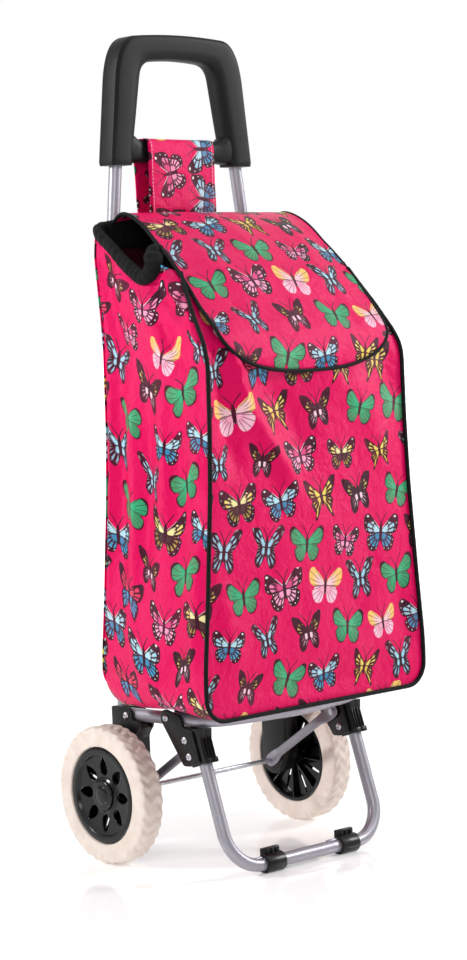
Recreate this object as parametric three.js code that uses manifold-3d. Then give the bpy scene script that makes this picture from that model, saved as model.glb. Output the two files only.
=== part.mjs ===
// Two-wheeled folding shopping trolley with a soft bag.
// Millimetres, +Z up, the front faces -Y, and the origin is on the floor at the middle of the whole object.
// The model is drawn from the axle: "y" below is the distance behind the axle line, and "left" is the -X side.
import * as THREE from "three";
import { mergeVertices } from "three/addons/utils/BufferGeometryUtils.js";
import Module from "manifold-3d";

const wasm = await Module();
wasm.setup();

// ---- Driving dimensions ----

const GAP = 0.35; // between pieces that touch

// wheels
const WHEEL_R = 80;
const TYRE_X = [133, 163]; // inner and outer side of a tyre, from the middle of the trolley
const HUB_R = 56;
const AXLE_Z = WHEEL_R;
const AXLE_R = 3;
const WHEEL_SIDES = 28;
const ROUND_SIDES = 12; // of rivets and other small turned pieces

// frame tubes
const TUBE_R = 7.5;
const TUBE_WALL = 1.2;
const FRAME_X = 116; // centre line of every side tube
const UPRIGHT_Y = 9;
const UPRIGHT_TOP = { x: 86, y: 15.5, z: 846 };
const UPRIGHT_BEND_Z = 590; // the uprights lean towards each other above this height

// brackets: two cheeks each side of a tube
const CHEEK_IN = [104.5, 108];
const CHEEK_OUT = [124, 127.5];
const WEB_X = [108, 124];

// pivots of the folding linkage, as [y, z]
const SHELF_PIVOT = [-8, 169];
const LEG_PIVOT = [-80, 174];
const BRACE_PIVOT = [-112, 152];
const AXLE = [0, AXLE_Z];

// shelf and leg
const SHELF_SLOPE = 0.0395;
const SHELF_FRONT_Y = -164;
const LEG_DOWN = new THREE.Vector2(-0.323, -0.946).normalize(); // direction of the leg in y, z
const SOCKET_MOUTH = new THREE.Vector2(-133.5, 126); // where the leg leaves its socket
const SOCKET_LENGTH = 33;
const FOOT_Z = 10.5;
const FOOT_BEND = 43;
const CLIP_X = 57.5;
const CLIP_R = 11;
const CLIP_LENGTH = 27;

// braces
const BRACE_X = [100.2, 101.8];
const BRACE_FLANGE_X = 94.2;

// rivets
const RIVET_R = 2.4;
const RIVET_HEAD_R = 4.4;
const RIVET_HEAD = 1.8;
const RIVET_HOLE_R = RIVET_R + GAP;

// handle
const HANDLE_Y = 13.5;
const HANDLE_DEPTH = 28;
const HANDLE_TOP = 951;
const CROSSBAR_Z = [804, 829];

// bag
const SKIN = 2.4; // thickness of a panel with its lining
const FRONT_Y = -199;
const BACK_Y = -22;
const BASE_Z = 186;
const CORNER_R = 26; // where a side turns under the bag
const REAR_CORNER_R = 18;
const LEAN_Z = 585; // above this the front leans back under the flap
const FRONT_TOP = [-139, 668];
const BACK_TOP = [-7, 733];
const BACK_LEAN_Z = 600;
const PIPING_R = 2.5;

// flap
const FLAP_HINGE = [-9, 737];
const FLAP_SKIN = 2.2;
const FLAP_PIPING_R = 2.2;
const FLAP_CORNER = 0.84; // share of the flap's length at which its rounded end begins

const FRONT_MOST = FRONT_Y - 9.7;
const AXLE_Y = (-FRONT_MOST - WHEEL_R) / 2; // puts the middle of the object's depth at y = 0

// ---- Materials ----

const finish = (color, roughness, metalness) =>
  new THREE.MeshStandardMaterial({ color, roughness, metalness });
const SILVER_PAINT = finish(0xa9a9b0, 0.35, 0.6);
const GREY_PAINT = finish(0x8f8e96, 0.42, 0.5);
const ZINC = finish(0xc9cbd0, 0.25, 1);
const BLACK_PLASTIC = finish(0x17171a, 0.5, 0);
const BLACK_GLOSS = finish(0x0b0b0d, 0.22, 0);
const CREAM_FOAM = finish(0xe6d8cc, 0.8, 0);
const PINK_CLOTH = finish(0xd5104f, 0.5, 0);
const BLACK_CLOTH = finish(0x141416, 0.75, 0);
const GREY_BOARD = finish(0x55555a, 0.8, 0);

// ---- Solids ----

// A closed geometry with shared vertices whose faces point out.
function closed(geometry) {
  const bare = new THREE.BufferGeometry();
  bare.setAttribute("position", geometry.getAttribute("position"));
  bare.setIndex(geometry.index);
  const merged = mergeVertices(bare, 1e-3);
  return volume(merged) < 0 ? turned(merged) : merged;
}

function volume(geometry) {
  const places = geometry.getAttribute("position");
  const corner = (i) => new THREE.Vector3().fromBufferAttribute(places, geometry.index.array[i]);
  let total = 0;
  for (let i = 0; i < geometry.index.count; i += 3) {
    total += corner(i).dot(corner(i + 1).cross(corner(i + 2))) / 6;
  }
  return total;
}

function turned(geometry) {
  const faces = geometry.index.array;
  for (let i = 0; i < faces.length; i += 3) {
    [faces[i + 1], faces[i + 2]] = [faces[i + 2], faces[i + 1]];
  }
  return geometry;
}

// The same shape on the other side of the trolley.
const mirrored = (geometry) => turned(geometry.clone().scale(-1, 1, 1));

const toSolid = (geometry) =>
  new wasm.Manifold(
    new wasm.Mesh({
      numProp: 3,
      vertProperties: closed(geometry).getAttribute("position").array,
      triVerts: new Uint32Array(closed(geometry).index.array),
    }),
  );

function fromSolid(solid) {
  const mesh = solid.getMesh();
  const geometry = new THREE.BufferGeometry();
  geometry.setAttribute("position", new THREE.BufferAttribute(mesh.vertProperties, 3));
  geometry.setIndex(new THREE.BufferAttribute(mesh.triVerts, 1));
  return geometry;
}

function cut(geometry, ...cutters) {
  return fromSolid(cutters.reduce((left, cutter) => left.subtract(toSolid(cutter)), toSolid(geometry)));
}

function joined(first, ...others) {
  return fromSolid(others.reduce((whole, other) => whole.add(toSolid(other)), toSolid(first)));
}

// An outline drawn in y, z and given a thickness from x0 to x1.
const YZ_TO_WORLD = new THREE.Matrix4().makeBasis(
  new THREE.Vector3(0, 1, 0),
  new THREE.Vector3(0, 0, 1),
  new THREE.Vector3(1, 0, 0),
);

function plate(shape, [x0, x1], curveSegments = 5) {
  const depth = x1 - x0;
  const flat = new THREE.ExtrudeGeometry(shape, { depth, curveSegments, bevelEnabled: false });
  return closed(flat.applyMatrix4(YZ_TO_WORLD).translate(x0, 0, 0));
}

function outline(points) {
  const shape = new THREE.Shape();
  shape.setFromPoints(points.map(([y, z]) => new THREE.Vector2(y, z)));
  return shape;
}

const box = ([x0, x1], [y0, y1], [z0, z1]) =>
  closed(
    new THREE.BoxGeometry(x1 - x0, y1 - y0, z1 - z0).translate(
      (x0 + x1) / 2,
      (y0 + y1) / 2,
      (z0 + z1) / 2,
    ),
  );

// A round bar along X at y, z.
const bar = (radius, [x0, x1], [y, z], sides = ROUND_SIDES) =>
  closed(
    new THREE.CylinderGeometry(radius, radius, x1 - x0, sides)
      .rotateZ(-Math.PI / 2)
      .translate((x0 + x1) / 2, y, z),
  );

// A profile of [radius, x] turned about the axle.
function turning(profile, sides = WHEEL_SIDES) {
  const loop = [...profile, profile[0]].map(([r, x]) => new THREE.Vector2(r, x));
  return closed(new THREE.LatheGeometry(loop, sides).rotateZ(-Math.PI / 2).translate(0, 0, AXLE_Z));
}

function ringShape(radius, hole) {
  const ring = new THREE.Shape();
  ring.absarc(0, 0, radius, 0, 2 * Math.PI);
  if (hole > 0) ring.holes.push(new THREE.Path().absarc(0, 0, hole, 0, 2 * Math.PI, true));
  return ring;
}

// A tube, or a solid cord where hole is 0, along a curve.
function swept(curve, radius, hole, steps, curveSegments = 5) {
  const options = { extrudePath: curve, steps, curveSegments, bevelEnabled: false };
  return closed(new THREE.ExtrudeGeometry(ringShape(radius, hole), options));
}

// A sheet of even thickness whose middle surface is place(u, v), with u and v from 0 to 1.
function sheet(uSteps, vSteps, thickness, place) {
  const geometry = new THREE.BoxGeometry(1, 1, 1, uSteps, 1, vSteps);
  const points = geometry.getAttribute("position");
  const small = 1e-3;
  for (let i = 0; i < points.count; i += 1) {
    const u = points.getX(i) + 0.5;
    const v = points.getZ(i) + 0.5;
    const alongU = place(u + small, v).sub(place(u - small, v));
    const alongV = place(u, v + small).sub(place(u, v - small));
    const normal = alongU.cross(alongV).normalize();
    const spot = place(u, v).addScaledVector(normal, points.getY(i) * thickness);
    points.setXYZ(i, spot.x, spot.y, spot.z);
  }
  return closed(geometry);
}

// The height at y on a line through [y, value] pairs, level past its ends.
function along(pairs, y) {
  const after = pairs.findIndex(([at]) => at >= y);
  if (after === 0) return pairs[0][1];
  if (after < 0) return pairs.at(-1)[1];
  const [y0, v0] = pairs[after - 1];
  const [y1, v1] = pairs[after];
  return v0 + ((v1 - v0) * (y - y0)) / (y1 - y0);
}

// ---- The trolley ----

const trolley = new THREE.Group();
trolley.position.y = AXLE_Y;

function add(name, geometry, material) {
  const mesh = new THREE.Mesh(geometry, material.clone());
  mesh.name = name;
  trolley.add(mesh);
}

// One piece on each side, drawn for the +X side.
function addPair(name, geometry, material) {
  add(`${name}_left`, mirrored(geometry), material);
  add(`${name}_right`, geometry, material);
}

function rivet([y, z], [x0, x1], heads = "both") {
  const pieces = [bar(RIVET_HEAD_R, [x1, x1 + RIVET_HEAD], [y, z])];
  if (heads === "both") pieces.push(bar(RIVET_HEAD_R, [x0 - RIVET_HEAD, x0], [y, z]));
  return joined(bar(RIVET_R, [x0, x1], [y, z]), ...pieces);
}

const rivetHole = ([y, z]) => bar(RIVET_HOLE_R, [90, 130], [y, z]);

// -- wheels --

function leaf(turn) {
  const shape = new THREE.Shape();
  shape.moveTo(24, 0);
  shape.quadraticCurveTo(37, 12, 47, 0);
  shape.quadraticCurveTo(37, -12, 24, 0);
  const opening = plate(shape, [150, 170], 3);
  return opening.rotateX(turn).translate(0, 0, AXLE_Z);
}

function addWheels() {
  const [inner, outer] = TYRE_X;
  const tyre = turning([
    [HUB_R + GAP, inner + 2],
    [HUB_R + GAP, outer - 2],
    [HUB_R + 4, outer],
    [WHEEL_R - 5, outer],
    [WHEEL_R, outer - 6],
    [WHEEL_R, inner + 6],
    [WHEEL_R - 5, inner],
    [HUB_R + 4, inner],
  ]);
  const hub = turning([
    [AXLE_R + GAP, 131],
    [12, 131],
    [13, 139],
    [51, 141],
    [51, 134],
    [HUB_R, 134],
    [HUB_R, 158.5],
    [52, 158.5],
    [51, 144],
    [13, 142],
    [12, 157],
    [AXLE_R + GAP, 157],
  ]);
  const coverRing = turning([
    [HUB_R - 0.5, 159],
    [HUB_R - 0.5, 161],
    [49, 161.8],
    [44, 160.6],
    [22, 156.8],
    [18, 158.4],
    [14, 158.4],
    [14, 156],
    [21, 154.6],
    [45, 158.6],
  ]);
  const cover = cut(coverRing, ...Array.from({ length: 8 }, (_, i) => leaf((i * Math.PI) / 4)));
  const cap = turning(
    [
      [0, 163.4],
      [9, 163],
      [15, 161.6],
      [17.6, 159.4],
      [17.6, 158.8],
      [12, 158.8],
      [11, 161.2],
      [0, 161.4],
    ],
    16,
  );
  addPair("tyre", tyre, CREAM_FOAM);
  addPair("wheel_hub", hub, BLACK_GLOSS);
  addPair("hub_cover", cover, BLACK_PLASTIC);
  addPair("hub_cap", cap, BLACK_PLASTIC);
}

function addAxle() {
  add("axle", bar(AXLE_R, [-160, 160], AXLE, 16), ZINC);
  const washer = turning([[AXLE_R + GAP, 128], [8, 128], [8, 130.4], [AXLE_R + GAP, 130.4]], ROUND_SIDES);
  const nut = turning([[AXLE_R + GAP, 157.4], [7, 157.4], [6, 159], [AXLE_R + GAP, 159]], ROUND_SIDES);
  addPair("axle_washer", washer, ZINC);
  addPair("push_nut", nut, ZINC);
}

// -- uprights and their lower brackets --

function uprightCurve() {
  const bottom = new THREE.Vector3(FRAME_X, UPRIGHT_Y, 92);
  const bend = new THREE.Vector3(FRAME_X, UPRIGHT_Y, UPRIGHT_BEND_Z);
  const top = new THREE.Vector3(UPRIGHT_TOP.x, UPRIGHT_TOP.y, UPRIGHT_TOP.z);
  const easing = 40;
  const into = bend.clone().setZ(UPRIGHT_BEND_Z - easing);
  const out = bend.clone().add(top.clone().sub(bend).setLength(easing));
  const path = new THREE.CurvePath();
  path.add(new THREE.LineCurve3(bottom, into));
  path.add(new THREE.QuadraticBezierCurve3(into, bend, out));
  path.add(new THREE.LineCurve3(out, top));
  return path;
}

function rearBracket() {
  const side = new THREE.Shape();
  side.moveTo(18.5, 177);
  side.absarc(1.5, 80, 17, 0, -Math.PI * 0.83, true);
  side.lineTo(-22, 92);
  side.lineTo(-22, 146);
  side.lineTo(-31, 157);
  side.lineTo(-31, 164);
  side.lineTo(-19.5, 164);
  side.absarc(SHELF_PIVOT[0], SHELF_PIVOT[1], 11, Math.PI * 1.1, Math.PI * 0.55, true);
  const block = plate(side, [CHEEK_IN[0], CHEEK_OUT[1]]);
  const socket = closed(
    new THREE.CylinderGeometry(TUBE_R + GAP, TUBE_R + GAP, 120, 16)
      .rotateX(Math.PI / 2)
      .translate(FRAME_X, UPRIGHT_Y, 91.5 + 60),
  );
  const shelfSlot = plate(
    outline([[-40, 161.2], [-14, 161.2], [-13.5, 159.4], [1.6, 159.4], [1.6, 195], [-40, 195]]),
    WEB_X,
  );
  const axleHole = bar(AXLE_R + GAP, [90, 140], AXLE, 16);
  return cut(block, socket, shelfSlot, axleHole, rivetHole(SHELF_PIVOT));
}

function addUprights() {
  addPair("upright_tube", swept(uprightCurve(), TUBE_R, TUBE_R - TUBE_WALL, 10), SILVER_PAINT);
  addPair("rear_bracket", rearBracket(), BLACK_PLASTIC);
  const grip = [CHEEK_IN[0] - GAP, CHEEK_OUT[1] + GAP];
  addPair("rear_rivet", rivet(SHELF_PIVOT, grip), ZINC);
}

// -- handle --

function handleGrip() {
  const [under, over] = CROSSBAR_Z;
  const bevel = 3;
  const rim = new THREE.Shape();
  rim.moveTo(107 - bevel, 800 + bevel);
  rim.lineTo(94.5 - bevel, 918);
  rim.quadraticCurveTo(92 - bevel, 944 - bevel, 66, HANDLE_TOP - 3 - bevel);
  rim.quadraticCurveTo(0, HANDLE_TOP + 3 - bevel, -66, HANDLE_TOP - 3 - bevel);
  rim.quadraticCurveTo(-92 + bevel, 944 - bevel, -94.5 + bevel, 918);
  rim.lineTo(-107 + bevel, 800 + bevel);
  rim.lineTo(-74 - bevel, 800 + bevel);
  rim.lineTo(-71, under + bevel);
  rim.lineTo(71, under + bevel);
  rim.lineTo(74 + bevel, 800 + bevel);
  const hand = new THREE.Path();
  hand.moveTo(62 + bevel, over - bevel);
  hand.lineTo(-62 - bevel, over - bevel);
  hand.quadraticCurveTo(-68 - bevel, over - bevel, -67 - bevel, over + 8);
  hand.lineTo(-57.5 - bevel, 904);
  hand.quadraticCurveTo(-55.5, 917 + bevel, -38, 919 + bevel);
  hand.quadraticCurveTo(0, 923 + bevel, 38, 919 + bevel);
  hand.quadraticCurveTo(55.5, 917 + bevel, 57.5 + bevel, 904);
  hand.lineTo(67 + bevel, over + 8);
  hand.quadraticCurveTo(68 + bevel, over - bevel, 62 + bevel, over - bevel);
  rim.holes.push(hand);
  const options = {
    depth: HANDLE_DEPTH - 2 * bevel,
    curveSegments: 5,
    bevelThickness: bevel,
    bevelSize: bevel,
    bevelSegments: 2,
  };
  const body = new THREE.ExtrudeGeometry(rim, options)
    .rotateX(Math.PI / 2)
    .translate(0, HANDLE_Y + HANDLE_DEPTH / 2 - bevel, 0);
  const socket = swept(
    new THREE.LineCurve3(
      new THREE.Vector3(FRAME_X, UPRIGHT_Y, UPRIGHT_BEND_Z),
      new THREE.Vector3(UPRIGHT_TOP.x, UPRIGHT_TOP.y, UPRIGHT_TOP.z).addScaledVector(
        new THREE.Vector3(UPRIGHT_TOP.x - FRAME_X, UPRIGHT_TOP.y - UPRIGHT_Y, UPRIGHT_TOP.z - UPRIGHT_BEND_Z),
        0.004,
      ),
    ),
    TUBE_R + GAP + 0.1,
    0,
    1,
    7,
  );
  return cut(body, socket, mirrored(socket));
}

function addHandle() {
  add("handle_grip", handleGrip(), BLACK_PLASTIC);
  const screw = new THREE.LatheGeometry(
    [
      [0, 0],
      [3.6, 0],
      [3.2, 1.4],
      [1.6, 2],
      [0, 2],
    ].map(([r, h]) => new THREE.Vector2(r, h)),
    ROUND_SIDES,
  ).translate(90, HANDLE_Y + HANDLE_DEPTH / 2 + GAP, 815);
  addPair("handle_screw", closed(screw), ZINC);
}

// -- folding shelf --

const shelfZ = (y) => SHELF_PIVOT[1] + SHELF_SLOPE * (SHELF_PIVOT[0] - y);

function shelfCurve() {
  const half = [
    [FRAME_X, -3],
    [FRAME_X, -50],
    [FRAME_X, -102],
    [113.8, -121],
    [106, -136],
    [89, -146.5],
    [60, -153.5],
    [30, -160],
  ];
  const right = half.map(([x, y]) => new THREE.Vector3(x, y, shelfZ(y)));
  const left = half.map(([x, y]) => new THREE.Vector3(-x, y, shelfZ(y))).reverse();
  const middle = new THREE.Vector3(0, SHELF_FRONT_Y, shelfZ(SHELF_FRONT_Y));
  return new THREE.CatmullRomCurve3([...right, middle, ...left], false, "centripetal");
}

function addShelf() {
  const tube = swept(shelfCurve(), TUBE_R, TUBE_R - TUBE_WALL, 28);
  const holes = [SHELF_PIVOT, LEG_PIVOT].flatMap((at) => [rivetHole(at), mirrored(rivetHole(at))]);
  add("shelf_tube", cut(tube, ...holes), SILVER_PAINT);
}

// -- leg: a bent tube in two riveted brackets --

// A point s down the leg from the socket's mouth and t in front of its centre line, as [y, z].
const onLeg = (s, t) => [
  SOCKET_MOUTH.x + s * LEG_DOWN.x + t * LEG_DOWN.y,
  SOCKET_MOUTH.y + s * LEG_DOWN.y - t * LEG_DOWN.x,
];
const SOCKET_RIVET = onLeg(-12.5, -11.4);
const LEG_LENGTH = (SOCKET_MOUTH.y - FOOT_Z) / -LEG_DOWN.y; // from the mouth to the foot bar
const FOOT_Y = onLeg(LEG_LENGTH, 0)[0];

function legCurve() {
  const corner = FOOT_BEND * 0.5523; // makes the bend a quarter circle
  const at = (x, s) => new THREE.Vector3(x, ...onLeg(s, 0));
  const path = new THREE.CurvePath();
  const side = (sign) => ({
    top: at(sign * FRAME_X, -SOCKET_LENGTH),
    into: at(sign * FRAME_X, LEG_LENGTH - FOOT_BEND),
    high: at(sign * FRAME_X, LEG_LENGTH - FOOT_BEND + corner),
    low: at(sign * (FRAME_X - FOOT_BEND + corner), LEG_LENGTH),
    out: at(sign * (FRAME_X - FOOT_BEND), LEG_LENGTH),
  });
  const [left, right] = [side(-1), side(1)];
  path.add(new THREE.LineCurve3(right.top, right.into));
  path.add(new THREE.CubicBezierCurve3(right.into, right.high, right.low, right.out));
  path.add(new THREE.LineCurve3(right.out, left.out));
  path.add(new THREE.CubicBezierCurve3(left.out, left.low, left.high, left.into));
  path.add(new THREE.LineCurve3(left.into, left.top));
  return path;
}

function bracketCheek() {
  const [y, z] = LEG_PIVOT;
  const side = new THREE.Shape();
  side.moveTo(...onLeg(-4.5, -25));
  side.absarc(y, z, 9.5, -0.55, Math.PI * 0.6, false);
  side.lineTo(-104, 179);
  side.lineTo(-109, 166);
  side.lineTo(-119, 163.6);
  side.lineTo(...onLeg(-38, 3));
  side.lineTo(...onLeg(-3, 3));
  return side;
}

// The block between the cheeks: it holds the leg and its top is the shelf's seat.
function bracketWeb() {
  const seat = (at) => [at, shelfZ(at) - TUBE_R - GAP];
  return outline([onLeg(0, -14), onLeg(-37, -14), seat(-110), seat(-136), onLeg(-26, 11), onLeg(0, 11)]);
}

function addLeg() {
  add("leg_tube", swept(legCurve(), TUBE_R, TUBE_R - TUBE_WALL, 30), SILVER_PAINT);
  const bore = swept(
    new THREE.LineCurve3(
      new THREE.Vector3(FRAME_X, ...onLeg(-SOCKET_LENGTH - 0.4, 0)),
      new THREE.Vector3(FRAME_X, ...onLeg(20, 0)),
    ),
    TUBE_R + GAP + 0.1,
    0,
    1,
    7,
  );
  const holes = [LEG_PIVOT, BRACE_PIVOT, SOCKET_RIVET].map(rivetHole);
  const half = (cheek, web) =>
    cut(joined(plate(bracketCheek(), cheek), plate(bracketWeb(), web)), bore, ...holes);
  addPair("front_bracket_outer", half(CHEEK_OUT, [FRAME_X + GAP / 2, 125]), BLACK_PLASTIC);
  addPair("front_bracket_inner", half(CHEEK_IN, [107, FRAME_X - GAP / 2]), BLACK_PLASTIC);
  const grip = [CHEEK_IN[0] - GAP, CHEEK_OUT[1] + GAP];
  addPair("leg_pivot_rivet", rivet(LEG_PIVOT, grip), ZINC);
  addPair("brace_side_rivet", rivet(BRACE_PIVOT, [CHEEK_IN[0], grip[1]], "outer"), ZINC);
  addPair("socket_rivet", rivet(SOCKET_RIVET, grip), ZINC);
}

function footClip() {
  const reach = [CLIP_X - CLIP_LENGTH / 2, CLIP_X + CLIP_LENGTH / 2];
  const around = bar(CLIP_R, reach, [FOOT_Y, FOOT_Z], 20);
  const tab = box([reach[0] + 1, reach[1] - 1], [FOOT_Y + 0.5, FOOT_Y + 6.5], [FOOT_Z + 6, FOOT_Z + 17]);
  const bore = bar(TUBE_R + GAP, [20, 100], [FOOT_Y, FOOT_Z], 16);
  const below = box([20, 100], [FOOT_Y - 20, FOOT_Y + 20], [-10, 0]);
  return cut(joined(around, tab), bore, below);
}

// -- braces from the axle to the leg brackets --

function brace() {
  const from = new THREE.Vector2(...AXLE);
  const to = new THREE.Vector2(...BRACE_PIVOT);
  const length = from.distanceTo(to);
  const end = 8;
  const stadium = new THREE.Shape();
  stadium.absarc(0, 0, end, Math.PI / 2, -Math.PI / 2, false);
  stadium.absarc(length, 0, end, -Math.PI / 2, Math.PI / 2, false);
  const strip = plate(stadium, BRACE_X, 8);
  const flange = (side) =>
    box([BRACE_FLANGE_X, BRACE_X[1] - 0.2], [22, length - 22], [side * 7.2 - 0.8, side * 7.2 + 0.8]);
  const flat = cut(
    joined(strip, flange(1), flange(-1)),
    bar(AXLE_R + GAP, [80, 110], [0, 0], 16),
    bar(RIVET_HOLE_R, [80, 110], [length, 0]),
  );
  return flat.rotateX(to.clone().sub(from).angle()).translate(0, ...AXLE);
}

function addBraces() {
  addPair("brace", brace(), GREY_PAINT);
  const shank = bar(RIVET_R, [98, CHEEK_IN[0] - GAP], BRACE_PIVOT);
  const heads = [
    bar(RIVET_HEAD_R, [BRACE_X[0] - GAP - 1.5, BRACE_X[0] - GAP], BRACE_PIVOT),
    bar(RIVET_HEAD_R, [BRACE_X[1] + GAP, CHEEK_IN[0] - GAP], BRACE_PIVOT),
  ];
  addPair("brace_pin", joined(shank, ...heads), ZINC);
}

// -- bag --

const HALF_WIDTH = [
  [212, 167],
  [240, 167],
  [315, 160],
  [430, 151],
  [500, 148],
  [733, 145],
];
const halfWidth = (z) => along(HALF_WIDTH, z);
const frontY = (z) => along([[LEAN_Z, FRONT_Y], [FRONT_TOP[1], FRONT_TOP[0]]], z);
const backY = (z) => along([[BACK_LEAN_Z, BACK_Y], [BACK_TOP[1], BACK_TOP[0]]], z);
const rearRise = (y) => {
  const past = Math.max(0, y - (BACK_Y - REAR_CORNER_R));
  return REAR_CORNER_R - Math.sqrt(Math.max(0, REAR_CORNER_R ** 2 - past ** 2));
};
const SIDE_FOOT_Z = BASE_Z + CORNER_R;
const RIM_FRONT = 688; // the sides' top edge at the front, its dip, and at the back
const RIM_DIP = 660;
const RIM_BACK = 729;

function addBagPanels() {
  const edge = SKIN / 2 + GAP;
  const inset = PIPING_R + GAP + 0.4; // keeps the front panel clear of the piping round it
  const turn = CORNER_R + 2;
  const front = sheet(4, 12, SKIN, (u, v) => {
    const low = BASE_Z + inset;
    const z = along([[0, low], [0.25, low + turn], [1, FRONT_TOP[1]]], v);
    const under = Math.min(turn, Math.max(0, low + turn - z));
    const turnedIn = turn - Math.sqrt(turn ** 2 - under ** 2);
    return new THREE.Vector3((2 * u - 1) * (halfWidth(z) - inset - turnedIn), frontY(z), z);
  });
  const flat = halfWidth(BASE_Z) - CORNER_R; // half width of the base's flat part
  const back = sheet(8, 8, SKIN, (u, v) => {
    const across = along([[0, -1], [0.125, -0.95], [0.25, -0.86], [0.75, 0.86], [0.875, 0.95], [1, 1]], u);
    const past = Math.max(0, Math.abs(across) * (halfWidth(BASE_Z) - edge - 1.4) - flat);
    const turnedUp = CORNER_R - Math.sqrt(CORNER_R ** 2 - past ** 2);
    const foot = BASE_Z + REAR_CORNER_R + GAP + turnedUp;
    const z = foot + v * (BACK_TOP[1] - foot);
    return new THREE.Vector3(across * (halfWidth(z) - edge - 1.4), backY(z), z);
  });
  const side = sheet(7, 9, SKIN, (u, v) => {
    const foot = SIDE_FOOT_Z + GAP + rearRise(FRONT_Y + u * (BACK_Y - FRONT_Y));
    const rim = along([[0, RIM_FRONT], [0.26, RIM_DIP], [0.84, 700], [1, RIM_BACK]], u);
    const z = foot + v * (rim - foot);
    const y = frontY(z) + 2.6 + u * (backY(z) - frontY(z) - 2.6);
    return new THREE.Vector3(halfWidth(z), y, z);
  });
  add("bag_front_panel", front, PINK_CLOTH);
  add("bag_back_panel", back, PINK_CLOTH);
  addPair("bag_side", side, PINK_CLOTH);
}

function addBagBase() {
  const wide = halfWidth(SIDE_FOOT_Z) - CORNER_R;
  const base = sheet(16, 7, SKIN, (u, v) => {
    const across = 2 * u - 1;
    const flatShare = 0.625;
    const bend = (Math.max(0, Math.abs(across) - flatShare) / (1 - flatShare)) * (Math.PI / 2);
    const flat = Math.min(Math.abs(across) / flatShare, 1) * wide;
    const x = Math.sign(across) * (flat + CORNER_R * Math.sin(bend));
    const y = along([[0, FRONT_Y + 2.8], [3 / 7, BACK_Y - REAR_CORNER_R], [1, BACK_Y - 0.4]], v);
    return new THREE.Vector3(x, y, BASE_Z + CORNER_R * (1 - Math.cos(bend)) + rearRise(y));
  });
  add("bag_base", base, PINK_CLOTH);
  const [x, y, r] = [132, (FRONT_Y + BACK_Y) / 2, 12];
  const [front, rear] = [FRONT_Y + 8, BACK_Y - REAR_CORNER_R - 2];
  const board = new THREE.Shape();
  board.moveTo(-x, y);
  board.lineTo(-x, front + r);
  board.quadraticCurveTo(-x, front, -x + r, front);
  board.lineTo(x - r, front);
  board.quadraticCurveTo(x, front, x, front + r);
  board.lineTo(x, rear - r);
  board.quadraticCurveTo(x, rear, x - r, rear);
  board.lineTo(-x + r, rear);
  board.quadraticCurveTo(-x, rear, -x, rear - r);
  const stiffener = new THREE.ExtrudeGeometry(board, { depth: 3, curveSegments: 4, bevelEnabled: false });
  add("base_board", closed(stiffener.translate(0, 0, BASE_Z + SKIN / 2 + GAP)), GREY_BOARD);
}

function addFrontPiping() {
  const reach = (z) => halfWidth(z) - 0.2;
  const heights = [640, 600, 585, 540, 480, 420, 360, 300, 250, SIDE_FOOT_Z];
  const lead = 1.2; // the piping's centre stands this far in front of the panel
  const sides = heights.map((z) => [reach(z), frontY(z) - lead, z]);
  const turns = [0.25, 0.5, 0.75, 1].map((share) => {
    const angle = (share * Math.PI) / 2;
    const x = reach(SIDE_FOOT_Z) - CORNER_R * (1 - Math.cos(angle));
    return [x, FRONT_Y - lead, SIDE_FOOT_Z - CORNER_R * Math.sin(angle)];
  });
  const half = [...sides, ...turns, [70, FRONT_Y - lead, BASE_Z]];
  const right = half.map(([x, y, z]) => new THREE.Vector3(x, y, z));
  const left = half.map(([x, y, z]) => new THREE.Vector3(-x, y, z)).reverse();
  const loop = new THREE.CatmullRomCurve3([...right, ...left], false, "centripetal");
  add("front_piping", swept(loop, PIPING_R, 0, 56, 3), BLACK_CLOTH);
}

// The gathered cloth collar stands just inside the mouth.
function addCollar() {
  const tall = 24;
  const rim = [
    [137, -132, 652],
    [142, -114, 652],
    [142.5, -82, 648],
    [142.5, -45, 674],
    [141, -24, 697],
    [135, -16, 708],
    [110, -15.5, 711],
    [50, -15.5, 712],
  ];
  const right = rim.map(([x, y, z]) => new THREE.Vector3(x, y, z));
  const left = [...right].reverse().map((p) => new THREE.Vector3(-p.x, p.y, p.z));
  const rear = new THREE.Vector3(0, -15.5, 712);
  const front = new THREE.Vector3(0, -136.5, 650);
  const path = new THREE.CatmullRomCurve3([...right, rear, ...left, front], true, "centripetal");
  const around = 32;
  const band = new THREE.TorusGeometry(1, 0.5, 4, around);
  const points = band.getAttribute("position");
  const grid = band.getAttribute("uv");
  for (let i = 0; i < points.count; i += 1) {
    const spot = path.getPointAt(grid.getX(i) % 1);
    const forward = path.getTangentAt(grid.getX(i) % 1);
    const out = new THREE.Vector3(forward.y, -forward.x, 0).normalize();
    const corner = Math.round(grid.getY(i) * 4) % 4;
    const across = corner === 0 || corner === 3 ? 0.8 : -0.8;
    const up = corner < 2 ? tall / 2 : -tall / 2;
    spot.addScaledVector(out, across).setZ(spot.z + up);
    points.setXYZ(i, spot.x, spot.y, spot.z);
  }
  add("mouth_collar", closed(band), BLACK_CLOTH);
}

// -- strap from the handle's crossbar to the bag's back --

function addStrap() {
  const [front, rear] = [HANDLE_Y - HANDLE_DEPTH / 2 - 0.5, HANDLE_Y + HANDLE_DEPTH / 2 + 0.5];
  const top = CROSSBAR_Z[1] + 0.4;
  const skin = 1.6;
  const tail = (z) => backY(z) + SKIN / 2 + GAP + 0.3;
  const section = outline([
    [tail(704), 704],
    [tail(733) + 0.4, 733],
    [-3.6, 745],
    [front - skin, 780],
    [front - skin, top],
    [front, top + skin],
    [rear, top + skin],
    [rear + skin, top],
    [rear + skin, 774],
    [1.6, 738],
    [tail(704) + 2.2, 704],
  ]);
  const inner = new THREE.Path();
  const loop = [[front, 780], [-1.8, 748], [-1, 741.5], [rear, 776], [rear, top], [front, top]];
  inner.setFromPoints(loop.map(([y, z]) => new THREE.Vector2(y, z)));
  section.holes.push(inner);
  add("hanging_strap", plate(section, [-55, 45]), PINK_CLOTH);
}

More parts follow.
